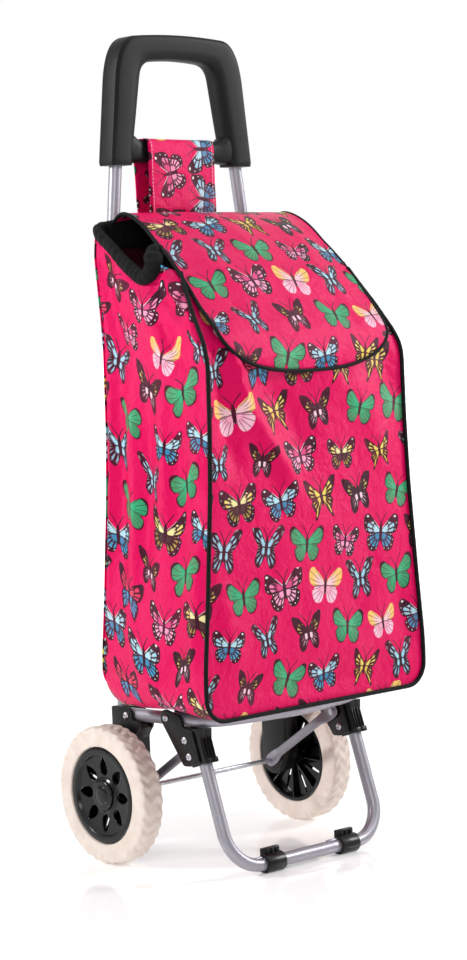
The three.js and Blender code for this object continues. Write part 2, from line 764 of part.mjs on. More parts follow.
// -- flap --

const FLAP_LINE = new THREE.CatmullRomCurve3(
  [
    [FLAP_HINGE[0], 738],
    [-25, 742.5],
    [-44, 742],
    [-76, 731],
    [-104, 712],
    [-145, 675],
    [-175, 637],
    [-198, 607],
    [-206, 585],
    [-206.3, 562],
  ].map(([y, z]) => new THREE.Vector3(0, y, z)),
  false,
  "centripetal",
);
const flapHalfWidth = (share) => along([[0, 119], [0.3, 124], [0.7, 127], [1, 122]], share);
const flapEnd = (across) => FLAP_CORNER + (1 - FLAP_CORNER) * Math.sqrt(1 - Math.abs(across) ** 2.6);

function onFlap(across, share) {
  const spot = FLAP_LINE.getPointAt(Math.min(1, Math.max(0, share)));
  return spot.setX(across * flapHalfWidth(Math.min(share, FLAP_CORNER)));
}

function addFlap() {
  const limit = (value) => Math.min(1, Math.max(0, value));
  const skin = sheet(10, 13, FLAP_SKIN, (u, v) => {
    const across = 2 * limit(u) - 1;
    const spread = Math.sin((across * Math.PI) / 2); // closer steps towards the rounded corners
    return onFlap(spread, limit(v) * flapEnd(spread));
  });
  add("flap", skin, PINK_CLOTH);
  const edge = [];
  const clear = FLAP_PIPING_R + GAP + 0.3;
  for (const share of [0.03, 0.2, 0.4, 0.55, 0.7, 0.8]) {
    edge.push(onFlap(1, share).add(new THREE.Vector3(clear, 0, 0)));
  }
  const rounds = 12;
  for (let i = 0; i <= rounds; i += 1) {
    const across = Math.cos((i / rounds) * Math.PI);
    const share = flapEnd(across);
    const down = FLAP_LINE.getTangentAt(Math.min(1, share));
    const outward = Math.abs(across) ** 3;
    const spot = onFlap(across, share).addScaledVector(down, clear * (1 - outward * 0.5));
    edge.push(spot.setX(spot.x + Math.sign(across) * outward * clear));
  }
  for (const share of [0.8, 0.7, 0.55, 0.4, 0.2, 0.03]) {
    edge.push(onFlap(-1, share).add(new THREE.Vector3(-clear, 0, 0)));
  }
  const curve = new THREE.CatmullRomCurve3(edge, false, "centripetal");
  add("flap_piping", swept(curve, FLAP_PIPING_R, 0, 60, 3), BLACK_CLOTH);
}

addWheels();
addAxle();
addUprights();
addHandle();
addShelf();
addLeg();
addPair("foot_clip", footClip(), BLACK_PLASTIC);
addBraces();
addBagPanels();
addBagBase();
addFrontPiping();
addCollar();
addStrap();
addFlap();

const model = new THREE.Group();
model.add(trolley);

export default model;
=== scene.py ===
import math

import bmesh
import bpy
import numpy as np
from mathutils import Matrix, Vector


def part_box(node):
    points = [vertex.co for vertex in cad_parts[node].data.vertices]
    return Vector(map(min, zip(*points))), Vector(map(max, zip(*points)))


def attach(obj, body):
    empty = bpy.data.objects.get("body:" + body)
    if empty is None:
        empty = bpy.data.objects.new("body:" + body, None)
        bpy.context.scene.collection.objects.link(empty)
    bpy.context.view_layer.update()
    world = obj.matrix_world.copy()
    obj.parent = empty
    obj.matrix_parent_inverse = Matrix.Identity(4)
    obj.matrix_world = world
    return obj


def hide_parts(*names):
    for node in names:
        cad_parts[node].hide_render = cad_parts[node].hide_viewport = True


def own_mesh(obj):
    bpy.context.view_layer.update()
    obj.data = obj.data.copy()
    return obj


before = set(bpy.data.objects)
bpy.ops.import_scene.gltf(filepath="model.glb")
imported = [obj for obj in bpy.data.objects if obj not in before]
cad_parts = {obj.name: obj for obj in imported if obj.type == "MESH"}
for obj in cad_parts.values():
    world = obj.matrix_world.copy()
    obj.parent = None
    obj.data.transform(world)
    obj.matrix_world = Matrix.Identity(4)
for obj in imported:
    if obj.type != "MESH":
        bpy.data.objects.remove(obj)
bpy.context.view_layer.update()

# Two-wheeled folding shopping trolley. Shapes are drawn in millimetres with y measured from the axle, as in
# the CAD, and become metres in the row frame when a piece is made. "left" is the -X side.

MM = 0.001
axle_low, axle_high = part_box("axle")
AXLE_Y = (axle_low.y + axle_high.y) / 2 / MM

# ---- Dimensions shared with the CAD ----

GAP = 0.35
WHEEL_R = 80
TYRE_X = (133, 163)
HUB_R = 56
AXLE = (0, 80)
TUBE_R = 7.5
FRAME_X = 116
UPRIGHT_Y = 9
UPRIGHT_TOP = (86, 15.5, 846)
UPRIGHT_BEND_Z = 590
CHEEK_IN = (104.5, 108)
CHEEK_OUT = (124, 127.5)
SHELF_PIVOT = (-8, 169)
LEG_PIVOT = (-80, 174)
BRACE_PIVOT = (-112, 152)
SHELF_SLOPE = 0.0395
SHELF_FRONT_Y = -164
LEG_DOWN = np.array([-0.323, -0.946]) / math.hypot(0.323, 0.946)
SOCKET_MOUTH = np.array([-133.5, 126])
SOCKET_LENGTH = 33
FOOT_Z = 10.5
FOOT_BEND = 43
CLIP_X = 57.5
CLIP_R = 11
CLIP_LENGTH = 27
HANDLE_Y = 13.5
HANDLE_DEPTH = 28
CROSSBAR_Z = (804, 829)
FRONT_Y = -199
BACK_Y = -22
BASE_Z = 186
CORNER_R = 26
REAR_CORNER_R = 18
HALF_WIDTH = [(212, 167), (240, 167), (315, 160), (430, 151), (500, 148), (733, 145)]
FRONT_LINE = [(585, -199), (668, -139), (690, -124)]
BACK_LINE = [(600, -22), (733, -7)]
PIPING_R = 2.5
FLAP_LINE = [
    (-9, 738), (-25, 742.5), (-44, 742), (-76, 731), (-104, 712),
    (-145, 675), (-175, 637), (-198, 607), (-206, 585), (-206.3, 562),
]
FLAP_HALF_WIDTH = [(0, 119), (0.3, 124), (0.7, 127), (1, 122)]
FLAP_CORNER = 0.84
FLAP_PIPING_R = 2.2

# ---- Curves ----


def along(pairs, at):
    """Straight lines through [place, value] pairs, level past their ends."""
    places, values = zip(*pairs)
    return np.interp(at, places, values)


def eased(pairs, at, reach):
    """The same with its corners rounded over that reach."""
    return np.mean([along(pairs, np.asarray(at) + o) for o in np.linspace(-reach, reach, 9)], axis=0)


def step(low, high, value):
    """0 below low, 1 above high, and smooth between."""
    t = np.clip((np.asarray(value, float) - low) / (high - low), 0, 1)
    return t * t * (3 - 2 * t)


def unit(vectors):
    """Each row at length 1."""
    return vectors / np.linalg.norm(vectors, axis=1)[:, None]


def headings(path, closed=False):
    """The direction of travel at each point of a path."""
    if closed:
        return unit(np.roll(path, -1, axis=0) - np.roll(path, 1, axis=0))
    return unit(np.gradient(path, axis=0))


def run_along(points):
    """How far along a polyline each of its points is."""
    return np.r_[0, np.cumsum(np.linalg.norm(np.diff(points, axis=0), axis=1))]


def even(points, count):
    """A polyline resampled at that many evenly spaced points."""
    points = np.asarray(points, float)
    walked = run_along(points)
    at = np.linspace(0, walked[-1], count)
    return np.stack([np.interp(at, walked, points[:, i]) for i in range(points.shape[1])], axis=1)


def spline(points, count, closed=False):
    """A smooth curve through points, evenly spaced. A closed one doesn't repeat its first point."""
    p = np.asarray(points, float)
    if closed:
        p = np.vstack([p[-1:], p, p[:2]])
    else:
        p = np.vstack([2 * p[0] - p[1], p, 2 * p[-1] - p[-2]])
    drawn = []
    for a, b, c, d in zip(p, p[1:], p[2:], p[3:]):
        t0 = 0.0
        t1 = t0 + np.linalg.norm(b - a) ** 0.5
        t2 = t1 + np.linalg.norm(c - b) ** 0.5
        t3 = t2 + np.linalg.norm(d - c) ** 0.5
        t = np.linspace(t1, t2, 24, endpoint=False)[:, None]
        ab = (t1 - t) / (t1 - t0) * a + (t - t0) / (t1 - t0) * b
        bc = (t2 - t) / (t2 - t1) * b + (t - t1) / (t2 - t1) * c
        cd = (t3 - t) / (t3 - t2) * c + (t - t2) / (t3 - t2) * d
        abc = (t2 - t) / (t2 - t0) * ab + (t - t0) / (t2 - t0) * bc
        bcd = (t3 - t) / (t3 - t1) * bc + (t - t1) / (t3 - t1) * cd
        drawn.append((t2 - t) / (t2 - t1) * abc + (t - t1) / (t2 - t1) * bcd)
    drawn = np.vstack([*drawn, p[-2:-1]])
    return even(drawn, count + 1)[:-1] if closed else even(drawn, count)


def bezier(points, count):
    """A Bezier curve with those control points."""
    level = [np.repeat(np.asarray(p, float)[None], count, axis=0) for p in points]
    t = np.linspace(0, 1, count)[:, None]
    while len(level) > 1:
        level = [a + (b - a) * t for a, b in zip(level, level[1:])]
    return level[0]


def circle(radius, sides):
    turn = np.arange(sides) * 2 * math.pi / sides
    return np.stack([radius * np.cos(turn), radius * np.sin(turn)], axis=1)


def superellipse(half_a, half_b, power, sides):
    turn = np.arange(sides) * 2 * math.pi / sides
    c, s = np.cos(turn), np.sin(turn)
    a = half_a * np.sign(c) * np.abs(c) ** (2 / power)
    b = half_b * np.sign(s) * np.abs(s) ** (2 / power)
    return np.stack([a, b], axis=1)


def rounded(corners, steps=5):
    """An outline through [y, z, radius] corners, with each corner rounded."""
    corners = [np.asarray(c, float) for c in corners]
    drawn = []
    for before, here, after in zip([corners[-1], *corners], corners, [*corners[1:], corners[0]]):
        point, radius = here[:2], here[2]
        if radius == 0:
            drawn.append(point[None])
            continue
        back, forth = before[:2] - point, after[:2] - point
        reach = [min(radius, 0.48 * np.linalg.norm(v)) / np.linalg.norm(v) for v in (back, forth)]
        drawn.append(bezier([point + back * reach[0], point, point + forth * reach[1]], steps + 1))
    return np.vstack(drawn)


def arc(centre, radius, start, end, count):
    turn = np.linspace(start, end, count)
    return np.stack([centre[0] + radius * np.cos(turn), centre[1] + radius * np.sin(turn)], axis=1)


# ---- Solids ----


def grid(rows, columns, wrap_rows=False, wrap_columns=False):
    """The faces of a grid of points that is stored row by row."""
    faces = []
    for i in range(rows if wrap_rows else rows - 1):
        for j in range(columns if wrap_columns else columns - 1):
            i1, j1 = (i + 1) % rows, (j + 1) % columns
            faces.append((i * columns + j, i * columns + j1, i1 * columns + j1, i1 * columns + j))
    return faces


class Shape:
    """Points and faces of a piece, in millimetres, with y measured from the axle."""

    def __init__(self):
        self.points = np.zeros((0, 3))
        self.faces = []
        self.places = []
        self.skins = []

    def add(self, points, faces, print_places=None, skin=0):
        """print_places gives, for each point, where it lies on the printed cloth, in metres."""
        points = np.asarray(points, float).reshape(-1, 3)
        start = len(self.points)
        self.points = np.vstack([self.points, points])
        self.faces += [tuple(start + i for i in f) for f in faces]
        if print_places is None:
            print_places = np.zeros((len(points), 2))
        flat = np.asarray(print_places, float).reshape(-1, 2)
        self.places += [[tuple(flat[i]) for i in f] for f in faces]
        self.skins += [skin] * len(faces)
        return self

    def mirrored(self):
        other = Shape()
        other.points = self.points * (-1, 1, 1)
        other.faces = [tuple(reversed(f)) for f in self.faces]
        other.places = [[(-u, v) for u, v in reversed(p)] for p in self.places]
        other.skins = list(self.skins)
        return other

    def loft(self, rings):
        """Rings of points joined into a skin with closed ends."""
        count = len(rings[0])
        last = (len(rings) - 1) * count
        ends = [tuple(range(count)), tuple(range(last, last + count))]
        return self.add(np.vstack(rings), grid(len(rings), count, wrap_columns=True) + ends)

    def tube(self, path, section, up=(1, 0, 0)):
        """A section of [across, out] points, or one for each place, carried along a path."""
        path = np.asarray(path, float)
        section = np.asarray(section, float)
        if section.ndim == 2:
            section = np.repeat(section[None], len(path), axis=0)
        side = np.asarray(up, float)
        rings = []
        for spot, ahead, outline in zip(path, headings(path), section):
            side = side - ahead * (side @ ahead)
            side = side / np.linalg.norm(side)
            other = np.cross(ahead, side)
            rings.append(spot + outline[:, :1] * side + outline[:, 1:] * other)
        return self.loft(rings)

    def turned(self, profile, sides=96, centre=AXLE, shift=None):
        """A profile of [radius, x] turned about a line along X. shift(angle, radius, x) may move points."""
        profile = np.asarray(profile, float)
        turn = np.arange(sides) * 2 * math.pi / sides
        angle, radius = np.meshgrid(turn, profile[:, 0], indexing="ij")
        x = np.repeat(profile[None, :, 1], sides, axis=0)
        if shift is not None:
            radius, x = shift(angle, radius, x)
        y = centre[0] + radius * np.cos(angle)
        z = centre[1] + radius * np.sin(angle)
        points = np.stack([x, y, z], axis=-1)
        return self.add(points, grid(sides, len(profile), wrap_rows=True))

    def plate(self, outline, ends, bevel=0.8):
        """An outline of [y, z] points from x = ends[0] to ends[1], with rounded edges."""
        outline = np.asarray(outline, float)
        y, z = outline.T
        area = np.sum(y * np.roll(z, -1) - np.roll(y, -1) * z)
        edge = np.roll(outline, -1, axis=0) - outline
        edge /= np.maximum(np.linalg.norm(edge, axis=1), 1e-9)[:, None]
        normal = np.stack([edge[:, 1], -edge[:, 0]], axis=1) * np.sign(area)
        before = np.roll(normal, 1, axis=0)
        lean = np.maximum(1 + np.sum(before * normal, axis=1), 0.5)[:, None]
        outward = (before + normal) / lean
        x0, x1 = ends
        soft = bevel * 0.29
        steps = [(0, bevel), (soft, soft), (bevel, 0)]
        rings = []
        for x, inset in [(x0 + d, i) for d, i in steps] + [(x1 - d, i) for d, i in steps[::-1]]:
            rings.append(np.column_stack([np.full(len(outline), x), outline - outward * inset]))
        return self.loft(rings)

    def make(self, name, finish, body, *nodes, sharp=35):
        """The Blender object. finish is a row of FINISHES, or several where the shape has several skins."""
        finishes = [finish] if isinstance(finish, str) else list(finish)
        mesh = bpy.data.meshes.new(name)
        mesh.from_pydata([tuple(p) for p in (self.points + (0, AXLE_Y, 0)) * MM], [], self.faces)
        cloth_map = mesh.uv_layers.new(name="cloth")
        flat = np.array([uv for face in self.places for uv in face], np.float32)
        cloth_map.data.foreach_set("uv", flat.ravel())
        for f in finishes:
            mesh.materials.append(FINISHES[f][0])
        mesh.polygons.foreach_set("material_index", np.array(self.skins, np.int32))
        work = bmesh.new()
        work.from_mesh(mesh)
        bmesh.ops.remove_doubles(work, verts=work.verts, dist=2e-6)
        bmesh.ops.dissolve_degenerate(work, edges=work.edges, dist=1e-7)
        bmesh.ops.recalc_face_normals(work, faces=work.faces)
        work.to_mesh(mesh)
        work.free()
        mesh.shade_smooth()
        mesh.set_sharp_from_angle(angle=math.radians(sharp))
        piece = in_scene(name, mesh)
        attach(piece, body)
        if nodes:
            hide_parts(*nodes)
        return piece


def in_scene(name, data):
    """An object with that data, in the scene."""
    made = bpy.data.objects.new(name, data)
    bpy.context.scene.collection.objects.link(made)
    return made


def thicken(piece, thickness, offset, even_offset=False, inner_skin=0):
    """Gives a single skin of cloth its thickness, in millimetres."""
    layer = piece.modifiers.new("thickness", "SOLIDIFY")
    layer.thickness = thickness * MM
    layer.offset = offset
    layer.use_even_offset = even_offset
    layer.material_offset = inner_skin
    evaluated = piece.evaluated_get(bpy.context.evaluated_depsgraph_get())
    mesh = bpy.data.meshes.new_from_object(evaluated)
    piece.modifiers.clear()
    piece.data = mesh


def pair(shape, name, finish, body, **settings):
    """A piece on each side from a shape drawn for the +X side. The wheels are a body on each side too."""
    for side, drawn in (("left", shape.mirrored()), ("right", shape)):
        home = f"wheel_{side}" if body == "wheel" else body
        drawn.make(f"{name}_{side}_look", finish, home, f"{name}_{side}", **settings)


# ---- Materials ----


class Value:
    """The output of a node. Arithmetic with it makes more nodes."""

    def __init__(self, net, socket):
        self.net = net
        self.socket = socket

    def __abs__(self):
        return self.net.math("ABSOLUTE", self)


def arithmetic(operation, swapped):
    """What one of the arithmetic signs does with a Value."""

    def method(value, other):
        return value.net.math(operation, *((other, value) if swapped else (value, other)))

    return method


for sign, operation in (
    ("add", "ADD"), ("sub", "SUBTRACT"), ("mul", "MULTIPLY"), ("truediv", "DIVIDE"), ("pow", "POWER"),
):
    setattr(Value, f"__{sign}__", arithmetic(operation, swapped=False))
    setattr(Value, f"__r{sign}__", arithmetic(operation, swapped=True))


class Net:
    """Builds a node tree. An input may be a number, a tuple or another node's output."""

    def __init__(self, tree):
        self.tree = tree

    def node(self, kind, values=(), **settings):
        made = self.tree.nodes.new(kind)
        for key, value in settings.items():
            setattr(made, key, value)
        for key, value in dict(values).items():
            self.put(made.inputs[key], value)
        return made

    def output(self, kind, key, values=(), **settings):
        """One output of a new node, by its number or name."""
        return Value(self, self.node(kind, values, **settings).outputs[key])

    def put(self, socket, value):
        if isinstance(value, Value):
            self.tree.links.new(value.socket, socket)
        elif value is not None:
            socket.default_value = value

    def math(self, operation, *values, clamp=False):
        return self.output("ShaderNodeMath", 0, enumerate(values), operation=operation, use_clamp=clamp)

    def larger(self, a, b):
        return self.math("MAXIMUM", a, b)

    def vector(self, operation, *values):
        key = 1 if operation in ("LENGTH", "DOT_PRODUCT") else 0
        return self.output("ShaderNodeVectorMath", key, enumerate(values), operation=operation)

    def mix(self, factor, a, b):
        return self.output("ShaderNodeMix", 2, {0: factor, 6: a, 7: b}, data_type="RGBA")

    def between(self, value, low, high, to_low=0.0, to_high=1.0):
        """A smooth step in value from low to high."""
        values = {0: value, 1: low, 2: high, 3: to_low, 4: to_high}
        return self.output("ShaderNodeMapRange", 0, values, interpolation_type="SMOOTHSTEP")

    def ramp(self, factor, stops, interpolation="LINEAR"):
        made = self.node("ShaderNodeValToRGB", {0: factor})
        made.color_ramp.interpolation = interpolation
        elements = made.color_ramp.elements
        while len(elements) < len(stops):
            elements.new(0.5)
        for element, (place, colour) in zip(elements, stops):
            element.position = place
            element.color = (*colour[:3], 1)
        return Value(self, made.outputs[0])

    def curve(self, factor, points):
        made = self.node("ShaderNodeFloatCurve", {1: factor})
        line = made.mapping.curves[0]
        line.points[0].location, line.points[1].location = points[0], points[-1]
        for point in points[1:-1]:
            line.points.new(*point)
        for point in line.points:
            point.handle_type = "AUTO"
        made.mapping.update()
        return Value(self, made.outputs[0])

    def noise(self, place, scale, detail=3.0, roughness=0.5, distortion=0.0):
        values = {"Vector": place, "Scale": scale, "Detail": detail}
        values.update({"Roughness": roughness, "Distortion": distortion})
        return self.output("ShaderNodeTexNoise", 0, values)

    def split(self, value, kind="ShaderNodeSeparateXYZ"):
        return [Value(self, socket) for socket in self.node(kind, {0: value}).outputs[:3]]

    def join(self, x, y, z=0.0):
        return self.output("ShaderNodeCombineXYZ", 0, {0: x, 1: y, 2: z})

    def place(self):
        """Where a point is in the row frame, in metres."""
        return self.output("ShaderNodeTexCoord", "Object")

    def cloth_place(self):
        """Where a point is on its flat cloth, in metres."""
        return self.output("ShaderNodeUVMap", 0, uv_map="cloth")

    def threads(self, place, pitch):
        """Two crossed sets of threads."""
        u, v, _ = self.split(place)
        warp = self.math("SINE", u * (2 * math.pi / pitch))
        weft = self.math("SINE", v * (2 * math.pi / pitch))
        return warp * weft


def srgb(code):
    """A colour as the shader wants it, from its usual six-digit code."""
    parts = [int(code[i : i + 2], 16) / 255 for i in (1, 3, 5)]
    return tuple(c / 12.92 if c <= 0.04045 else ((c + 0.055) / 1.055) ** 2.4 for c in parts) + (1.0,)


def shader(name, build):
    """A material. build(net) returns values for the shader, with "height" and "depth" for its bump."""
    material = bpy.data.materials.new(name)
    material.use_nodes = True
    net = Net(material.node_tree)
    principled = material.node_tree.nodes["Principled BSDF"]
    values = build(net)
    height, depth = values.pop("height", None), values.pop("depth", 0.0001)
    if height is not None:
        relief = {"Height": height, "Distance": depth, "Strength": 1.0}
        values["Normal"] = net.output("ShaderNodeBump", 0, relief)
    for key, value in values.items():
        net.put(principled.inputs[key], value)
    return material


def painted_metal(base, dark, metallic, gloss):
    """Silver enamel on steel tube: fine flake, a slight orange peel and rubbed places."""

    def build(net):
        place = net.place()
        flake = net.noise(place, 2600, 1)
        peel = net.noise(place, 420, 2)
        rubbed = net.between(net.noise(place, 26, 4, 0.6), 0.45, 0.75)
        colour = net.mix(net.between(flake, 0.25, 0.75), srgb(dark), srgb(base))
        return {
            "Base Color": net.mix(rubbed * 0.25, colour, srgb(dark)),
            "Metallic": metallic,
            "Roughness": rubbed * 0.1 + gloss,
            "Coat Weight": 0.15,
            "Coat Roughness": 0.18,
            "height": peel + flake * 0.25,
            "depth": 0.00006,
        }

    return build


def bright_metal(net):
    place = net.place()
    scratched = net.noise(net.vector("MULTIPLY", place, (300.0, 3000.0, 3000.0)), 1, 2)
    tarnish = net.between(net.noise(place, 160, 4, 0.6), 0.4, 0.8)
    return {
        "Base Color": net.mix(tarnish, srgb("#C4C5CB"), srgb("#96989F")),
        "Metallic": 1.0,
        "Roughness": tarnish * 0.14 + 0.3,
        "height": scratched,
        "depth": 0.00003,
    }


def moulded(base, light, gloss, grain, depth, shine):
    """Black moulded plastic with a fine spark-eroded grain and faint scuffs."""

    def build(net):
        place = net.place()
        speck = net.noise(place, grain, 2, 0.6)
        scuff = net.between(net.noise(place, 45, 5, 0.65), 0.5, 0.8)
        return {
            "Base Color": net.mix(scuff, srgb(base), srgb(light)),
            "Roughness": scuff * 0.12 + gloss,
            "Specular IOR Level": shine,
            "height": speck,
            "depth": depth,
        }

    return build


def foam(net):
    """Closed-cell foam: small pores, darker towards the middle of each pit, and soft mottling."""
    place = net.place()
    pores = net.output("ShaderNodeTexVoronoi", "Distance", {"Vector": place, "Scale": 900.0})
    mottle = net.noise(place, 60, 4, 0.6)
    colour = net.mix(net.between(mottle, 0.3, 0.7), srgb("#E9DCD2"), srgb("#DFD0C5"))
    pitted = net.between(pores, 0.0, 0.35)
    return {
        # each pore is darker towards its middle, where the bump sinks deepest
        "Base Color": net.mix((1.0 - pitted) * 0.3, colour, srgb("#C9B9AE")),
        "Roughness": mottle * 0.2 + 0.62,
        "Subsurface Weight": 0.08,
        "Subsurface Radius": (0.004, 0.003, 0.002),
        "Subsurface Scale": 0.5,
        "height": pitted + mottle * 1.5,
        "depth": 0.00012,
    }


def woven(base, light, thread, gloss, depth, sheen):
    """Plain cloth: two crossed sets of threads on the piece's own map, in metres."""

    def build(net):
        cross = net.threads(net.cloth_place(), thread)
        fuzz = net.noise(net.place(), 900, 3, 0.7)
        tone = net.between(cross * 0.25 + fuzz, 0.2, 0.9)
        return {
            "Base Color": net.mix(tone, srgb(base), srgb(light)),
            "Roughness": fuzz * 0.2 + gloss,
            "Specular IOR Level": 0.16,
            "Sheen Weight": sheen,
            "Sheen Roughness": 0.5,
            "height": cross + fuzz * 0.8,
            "depth": depth,
        }

    return build


def fibreboard(net):
    place = net.place()
    fibre = net.noise(net.vector("MULTIPLY", place, (300.0, 900.0, 900.0)), 1, 4, 0.7)
    return {
        "Base Color": net.mix(fibre, srgb("#3D3D42"), srgb("#6B6B70")),
        "Roughness": fibre * 0.2 + 0.7,
        "height": fibre,
        "depth": 0.00015,
    }


# The printed butterflies: nine made-up kinds. Each row has the colours of the inner and outer forewing and of
# the inner and outer hindwing, the border, vein and spot strengths, and the tailed and upswept shares.
KINDS = [
    ("#00B078", "#009A64", "#00AA70", "#00925E", 0.07, 0.10, 0.0, 0.0, 0.0),
    ("#D8467F", "#F3A3C4", "#F2A0C2", "#F6B6D0", 0.24, 0.45, 1.0, 0.0, 0.0),
    ("#E9E6A0", "#E7D24E", "#2A2A1E", "#B7A83E", 0.22, 0.55, 0.5, 0.0, 0.1),
    ("#F6CBD2", "#F4C66A", "#F7A9C4", "#F9C4D6", 0.00, 0.12, 0.0, 0.0, 0.0),
    ("#ACDEEA", "#8CCADC", "#0A8AB2", "#1AA0C6", 0.20, 0.45, 0.9, 0.0, 0.0),
    ("#E8D95A", "#EADB66", "#E6D24E", "#E2CB48", 0.17, 0.70, 0.0, 1.0, 0.0),
    ("#9AD4E6", "#8CCADE", "#98D4E6", "#84C2DA", 0.16, 0.75, 0.3, 0.0, 1.0),
    ("#17140F", "#E4D56A", "#F2D3DF", "#17140F", 0.20, 0.60, 0.0, 0.3, 0.6),
    ("#E0405F", "#D8345A", "#2F9CC6", "#2A8FBE", 0.14, 0.40, 0.0, 0.5, 0.3),
]
BACKGROUND = "#DB0156"
INK = "#120E10"
CELL = (0.06, 0.0495)  # one butterfly's share of the cloth, in metres
ROW_STAGGER = 0.45  # every other row is moved by that share of a cell
HALF_WINGSPAN = 0.031
# Wing outline as [share of a half turn from straight down to straight up, reach].
ROUND_WINGS = [
    (0, 0.14), (0.05, 0.46), (0.11, 0.72), (0.2, 0.8), (0.3, 0.76), (0.4, 0.68), (0.455, 0.56),
    (0.5, 0.7), (0.56, 0.84), (0.64, 0.96), (0.7, 1.03), (0.75, 0.98), (0.79, 0.66), (0.86, 0.26), (1, 0.1),
]
TAILED_WINGS = [
    (0, 0.1), (0.08, 0.4), (0.13, 0.74), (0.16, 0.95), (0.19, 0.7), (0.28, 0.6), (0.38, 0.56), (0.45, 0.46),
    (0.5, 0.52), (0.6, 0.68), (0.7, 0.9), (0.745, 1.0), (0.79, 0.52), (0.88, 0.18), (1, 0.08),
]
UPSWEPT_WINGS = [
    (0, 0.14), (0.07, 0.6), (0.12, 0.78), (0.2, 0.72), (0.3, 0.5), (0.4, 0.38), (0.46, 0.34),
    (0.52, 0.36), (0.6, 0.5), (0.7, 0.8), (0.77, 1.02), (0.815, 0.98), (0.85, 0.55), (0.92, 0.22), (1, 0.1),
]
VEINS = 22  # in a full turn


def butterflies(net, place):
    """Colour and ink of the print at a place on the cloth, in metres."""
    count = len(KINDS)
    cells = net.vector("DIVIDE", place, (*CELL, 1.0))
    row_number = net.math("FLOOR", net.split(cells)[1])
    stagger = net.math("FLOORED_MODULO", row_number, 2.0) * ROW_STAGGER
    cells = net.vector("ADD", cells, net.join(stagger, 0.0))
    index = net.vector("FLOOR", cells)
    column, row, _ = net.split(index)
    chance = net.output("ShaderNodeTexWhiteNoise", "Color", {"Vector": index}, noise_dimensions="2D")
    chance_a, chance_b, chance_c = net.split(chance, "ShaderNodeSeparateColor")
    order = column * 2.0 + row * 5.0 + net.math("FLOOR", chance_a * 2.99)
    kind = net.math("FLOORED_MODULO", order, float(count))
    pick = (kind + 0.5) / float(count)

    def by_kind(first, read):
        return net.ramp(pick, [(i / count, read(k[first:])) for i, k in enumerate(KINDS)], "CONSTANT")

    fore_in, fore_out, hind_in, hind_out = (by_kind(i, lambda k: srgb(k[0])) for i in range(4))
    border, vein, spot = net.split(by_kind(4, lambda k: k), "ShaderNodeSeparateColor")
    tailed, upswept, _ = net.split(by_kind(7, lambda k: (*k, 0)), "ShaderNodeSeparateColor")

    # the place inside the cell, turned a little and measured in wingspans
    local = net.vector("SUBTRACT", net.vector("SUBTRACT", cells, index), (0.5, 0.5, 0.0))
    jitter = net.join(chance_b - 0.5, chance_c - 0.5)
    local = net.vector("SUBTRACT", local, net.vector("MULTIPLY", jitter, (0.08, 0.1, 0.0)))
    size = 0.8 + chance_c * 0.27
    local = net.vector("MULTIPLY", local, (CELL[0] / HALF_WINGSPAN, CELL[1] / HALF_WINGSPAN, 0.0))
    local = net.vector("DIVIDE", local, net.join(size, size, 1.0))
    lean = (chance_b - 0.5) * 0.55
    leaning = {"Vector": local, "Angle": lean}
    x, y, _ = net.split(net.output("ShaderNodeVectorRotate", 0, leaning, rotation_type="Z_AXIS"))
    x = abs(x)

    # the wings, measured round their root
    x_root = net.larger(x - 0.02, 0.0)
    reach = net.vector("LENGTH", net.join(x_root, y))
    angle = net.math("ARCTAN2", y, x_root)
    turn = angle / math.pi + 0.5
    edge = net.curve(turn, ROUND_WINGS)
    for outline, amount in ((TAILED_WINGS, tailed), (UPSWEPT_WINGS, upswept)):
        edge = edge * (1.0 - amount) + net.curve(turn, outline) * amount
    share = reach / edge
    wing = net.between(share, 0.99, 1.01, 1.0, 0.0)
    fore = net.between(turn, 0.465, 0.475)

    # fills, from the root to the margin
    outer = net.between(share, 0.35, 0.8)
    fill = net.mix(fore, net.mix(outer, hind_in, hind_out), net.mix(outer, fore_in, fore_out))

    # ink: margin, veins between the cells, the cell's end, and the line between the wings
    tip = net.between(turn, 0.62, 0.73) * border
    margin = border * 1.2 + tip
    inked = net.between(share + margin, 0.985, 1.02)
    off_ray = abs(net.math("FRACT", turn * (VEINS / 2)) - 0.5)
    vein_pitch = reach * (2 * math.pi / VEINS)
    off_vein = off_ray * vein_pitch
    width = vein * 0.075
    line = net.between(off_vein, width * 0.5, width + 0.008, 1.0, 0.0) * net.between(share, 0.3, 0.42)
    cell_end = net.between(abs(share - 0.44), 0.01, 0.045, 1.0, 0.0) * net.between(vein, 0.2, 0.4)
    from_parting = abs(turn - 0.47) * reach
    parting = net.between(from_parting, 0.004, 0.012, 1.0, 0.0) * net.between(vein, 0.05, 0.15)
    inked = net.larger(net.larger(inked, line), net.larger(cell_end, parting))

    # pale spots in the dark margin
    from_spot = net.vector("LENGTH", net.join((0.5 - off_ray) * vein_pitch, reach - edge * 0.88))
    radius = 0.026 + net.between(turn, 0.66, 0.72) * 0.03
    dot = net.between(from_spot, radius * 0.7, radius, 1.0, 0.0) * spot

    # body, head and feelers
    body = net.vector("LENGTH", net.join(x / 0.075, y / 0.36))
    body = net.between(body, 0.9, 1.05, 1.0, 0.0)
    rise = (y - 0.26) / 0.5
    feeler = x - net.larger(rise, 0.0) ** 1.4 * 0.3
    feeler = net.between(abs(feeler), 0.012, 0.03, 1.0, 0.0)
    inside = net.math("GREATER_THAN", rise, 0.0) * net.math("LESS_THAN", rise, 1.0)
    body = net.larger(body, feeler * inside)

    grain = net.noise(place, 1500, 2, 0.6)
    fill = net.mix(net.between(grain, 0.35, 0.7, 0.0, 0.02), fill, srgb("#FFFFFF"))
    fill = net.mix(inked, fill, srgb(INK))
    fill = net.mix(dot, fill, srgb("#F3F1EE"))
    colour = net.mix(wing, srgb(BACKGROUND), fill)
    return net.mix(body, colour, srgb(INK)), net.larger(wing * inked, body)


